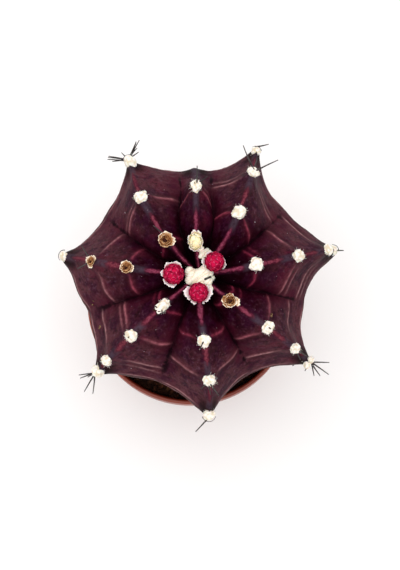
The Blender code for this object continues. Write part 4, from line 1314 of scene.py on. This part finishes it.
def potMaterial():
    # moulded polypropylene: satin, slightly uneven colour, fine scuffs that run round the rim
    made, tree, surface = newMaterial("moulded_polypropylene", {
        "IOR": 1.49, "Subsurface Weight": 0.05, "Subsurface Scale": 0.8 * mm})
    place = addNode(tree, "TexCoord", "Object")
    cloud = addNode(tree, "TexNoise", "Fac", {"Vector": place, "Scale": 1 / (14 * mm), "Detail": 4.0})
    flat = addNode(tree, "Mapping", "Vector", {"Vector": place, "Scale": (1.0, 1.0, 9.0)})
    scuff = addNode(tree, "TexNoise", "Fac", {
        "Vector": flat, "Scale": 1 / (3.5 * mm), "Detail": 5.0, "Roughness": 0.7})
    grain = addNode(tree, "TexNoise", "Fac", {"Vector": place, "Scale": 1 / (0.5 * mm), "Detail": 2.0})
    plastic = addNode(tree, "ValToRGB", "Color", {"Fac": cloud}, {
        "stops": ((0.3, "#7c2c16"), (0.7, "#933d27"))})
    dust = addNode(tree, "MapRange", "Result", {
        "Value": scuff, "From Min": 0.6, "From Max": 0.8, "To Min": 0.0, "To Max": 0.2})
    scuffed = addNode(tree, "Mix", 2, {0: dust, 6: plastic, 7: "#b98068"}, {"data_type": "RGBA"})
    # painted shade on the inside wall above the soil
    axis = addNode(tree, "VectorMath", 0, {0: place, 1: (1.0, 1.0, 0.0)}, {"operation": "MULTIPLY"})
    radius = addNode(tree, "VectorMath", "Value", {0: axis}, {"operation": "LENGTH"})
    within = addNode(tree, "MapRange", "Result", {
        "Value": radius, "From Min": pot["innerShade"] * mm, "From Max": (pot["innerShade"] - pot["innerShadeFades"]) * mm})
    up = addNode(tree, "SeparateXYZ", "Z", {0: place})
    above = addNode(tree, "Math", 0, {0: up, 1: pot["innerShadeFrom"] * mm}, {"operation": "GREATER_THAN"})
    innerShade = addNode(tree, "Math", 0, {0: within, 1: above}, {"operation": "MULTIPLY"})
    bump = {"Height": grain, "Strength": 0.15, "Distance": 0.05 * mm}
    fillSockets(tree, surface, {
        "Base Color": addNode(tree, "Mix", 2, {0: innerShade, 6: scuffed, 7: "#5a1408"}, {"data_type": "RGBA"}),
        "Roughness": addNode(tree, "MapRange", "Result", {
            "Value": scuff, "From Min": 0.3, "From Max": 0.7, "To Min": 0.36, "To Max": 0.52}),
        "Normal": addNode(tree, "Bump", "Normal", bump)})
    return made


# Soil: dark peat, broken into crumbs with fibres and bits of bark

soil = {
    "segments": 120, "rings": 34, "bump": 0.3, "bumpSize": 11, "crumb": 0.28, "crumbWidth": 1.8,  # mm
    "room": 0.6, "shoulder": (1.2, 3.2), "footGap": 1.5,  # mm, over its level, at its edge, in the pot's base
    "crumbs": 620, "crumbSize": (0.25, 0.95), "bark": 60, "barkSize": (0.7, 1.8),  # mm
    "crumbFlat": 0.75, "barkFlat": 0.4, "long": 1.25, "uneven": 0.22, "proud": 0.25,  # shares
    "fibres": 90, "fibreLength": (2.5, 7), "fibreRadius": 0.09, "fibreLift": 0.35,  # mm
    "fibreRise": 0.12, "fibreBend": 0.25,  # shares
    "stemAt": 43.5,  # mm up, where the stem is measured
    "fibreRoom": 3.5, "stemGap": 15, "wallGap": 0.5,  # mm, how clear the fibres lie
    "seed": 71,
}


def soilHeight(points, level):
    high = level + soil["bump"] * mm * waves(points, soil["bumpSize"] * mm, 8)
    return high + soil["crumb"] * mm * waves(points, soil["crumbWidth"] * mm, 9, 14)


def rootRadius(height):
    # how wide the stem is at this height, where it enters the soil
    levels = np.linspace(9, lastLevel, 60)
    curve = throughStations(levels)
    return float(np.interp(-(height - stem["tipHeight"] * mm), -curve[:, 1], curve[:, 0]))


def makeSoil(material):
    low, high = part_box("soil")
    level = high.z - soil["room"] * mm
    edge = (high.x - low.x) / 2
    foot = pot["baseRadius"] * mm - soil["footGap"] * mm
    inwards, down = (size * mm for size in soil["shoulder"])
    profile = [(max(edge * k / soil["rings"], 0.001 * mm), level) for k in range(soil["rings"] + 1)]
    profile += [(edge - inwards, level - down), (foot, low.z), (0.001 * mm, low.z)]
    bm = turned(profile, soil["segments"], 0.02 * mm)
    points = coordinates(bm)
    flat = points * (1, 1, 0)
    onTop = points[:, 2] > level - 0.1 * mm
    points[:, 2] = np.where(onTop, soilHeight(flat, level), points[:, 2])
    moveTo(bm, points)
    finishPiece("peat", bm, material, ("soil",))
    return level, edge


def freeSpot(draw, edge, size):
    # a place on the soil, clear of the stem and of the pot's wall
    while True:
        x, y = draw.uniform(-edge, edge), draw.uniform(-edge, edge)
        clear = math.hypot(x - axisX, y - axisY) > rootRadius(soil["stemAt"] * mm) + size
        if clear and math.hypot(x, y) < edge - size:
            return x, y


def makeCrumbs(level, edge, earth, bark, fibre):
    draw = random.Random(soil["seed"])

    def addLumps(name, count, sizes, flat, material):
        shape, unit = ballShape(2)
        bm = bmesh.new()
        for number in range(count):
            size = draw.uniform(*sizes) * mm
            x, y = freeSpot(draw, edge, size)
            ground = float(soilHeight(np.array([[x, y, 0]]), level)[0])
            turn = turnTowards(randomWay(draw))
            form = iter(1 + soil["uneven"] * waves(unit, 1.4, 400 + number, 5))

            def place(vert):
                local = vert.co * float(next(form)) * size
                local = Vector((local.x * soil["long"], local.y, local.z * flat))
                vert.co = turn @ local + Vector((x, y, ground + size * soil["proud"]))

            addShape(bm, shape, place)
        finishPiece(name, bm, material)

    addLumps("peat_crumbs", soil["crumbs"], soil["crumbSize"], soil["crumbFlat"], earth)
    addLumps("bark_bits", soil["bark"], soil["barkSize"], soil["barkFlat"], bark)
    shape = strandShape(4, 5, 0.6)
    bm = bmesh.new()
    for _ in range(soil["fibres"]):
        length = draw.uniform(*soil["fibreLength"]) * mm
        x, y = freeSpot(draw, edge, soil["fibreRoom"] * mm)
        way = Vector((draw.gauss(0, 1), draw.gauss(0, 1), soil["fibreRise"])).normalized()
        root = Vector((x, y, level + soil["fibreLift"] * mm)) - way * length / 2
        tip = root + way * length
        if math.hypot(*(tip - Vector((axisX, axisY, 0))).xy) < soil["stemGap"] * mm:
            continue
        if max(math.hypot(*root.xy), math.hypot(*tip.xy)) > edge - soil["wallGap"] * mm:
            continue
        bend = Vector((draw.gauss(0, 1), draw.gauss(0, 1), -0.1)) * length * soil["fibreBend"]
        addStrand(bm, shape, root, way, length, soil["fibreRadius"] * mm, bend)
    finishPiece("peat_fibres", bm, fibre)


def soilMaterial(name, dark, light, size):
    # damp peat and bark: rough, no gloss, from black to rust brown
    return mottledMaterial(name, {"Roughness": 0.92, "Specular IOR Level": 0.2}, size,
                           ((0.4, dark), (0.68, light)), {"Detail": 5.0, "Roughness": 0.7}, (0.9, 0.3))


def main():
    setCamera()
    setStudio()
    print("camera and studio set")
    makePot(potMaterial())
    level, edge = makeSoil(soilMaterial("damp_peat", "#1c0a06", "#4a2a1a", 1.6))
    earth = soilMaterial("peat_crumb", "#240d07", "#603520", 2.4)
    bark = soilMaterial("bark_chip", "#3a2012", "#6b4526", 0.9)
    fibre = soilMaterial("coir_fibre", "#4a2f1a", "#8a6238", 2.0)
    makeCrumbs(level, edge, earth, bark, fibre)
    print("pot and soil made")
    stemTree = makeStem(skinMaterial())
    papery = driedMaterial()
    wool = woolMaterial("felted_areole_wool", "#f6efe4", "#dccdb2", 0.9)
    pads = makeAreoleWool(wool, papery)
    makeAreoleHairs(wool, pads)
    makeSpines(spineMaterial(), pads)
    scurf = budMaterial("waxy_scurf", "#7d6a72", "#b5a6ab", "#b5a6ab", 0.3)
    makeScars(corkMaterial(), scurf, stemTree)
    print("stem, wool and spines made")
    cream = woolMaterial("crown_wool_felt", "#fdf6e4", "#d9c5a4", 1.6)
    roots = makeCrownWool(cream, stemTree)
    makeCrownHairs(cream, roots)
    makeHusks(woolMaterial("papery_wool_husk", "#faefee", "#e4c4c2", 1.5), stemTree)
    crimson = budMaterial("crimson_bud_scale", "#86022a", "#c91245", "#ee5a86", 1.0)
    for node in ("bud_left", "bud_right", "bud_front"):
        makeBud(node, crimson, crimsonBud)
    yellow = budMaterial("pale_bud_scale", "#fae6ae", "#fff4cc", "#fffbe8", 1.2)
    makeBud("bud_pale", yellow, paleBud)
    for node in driedFlowers:
        makeDriedFlower(node, papery)
    print("crown made")


main()
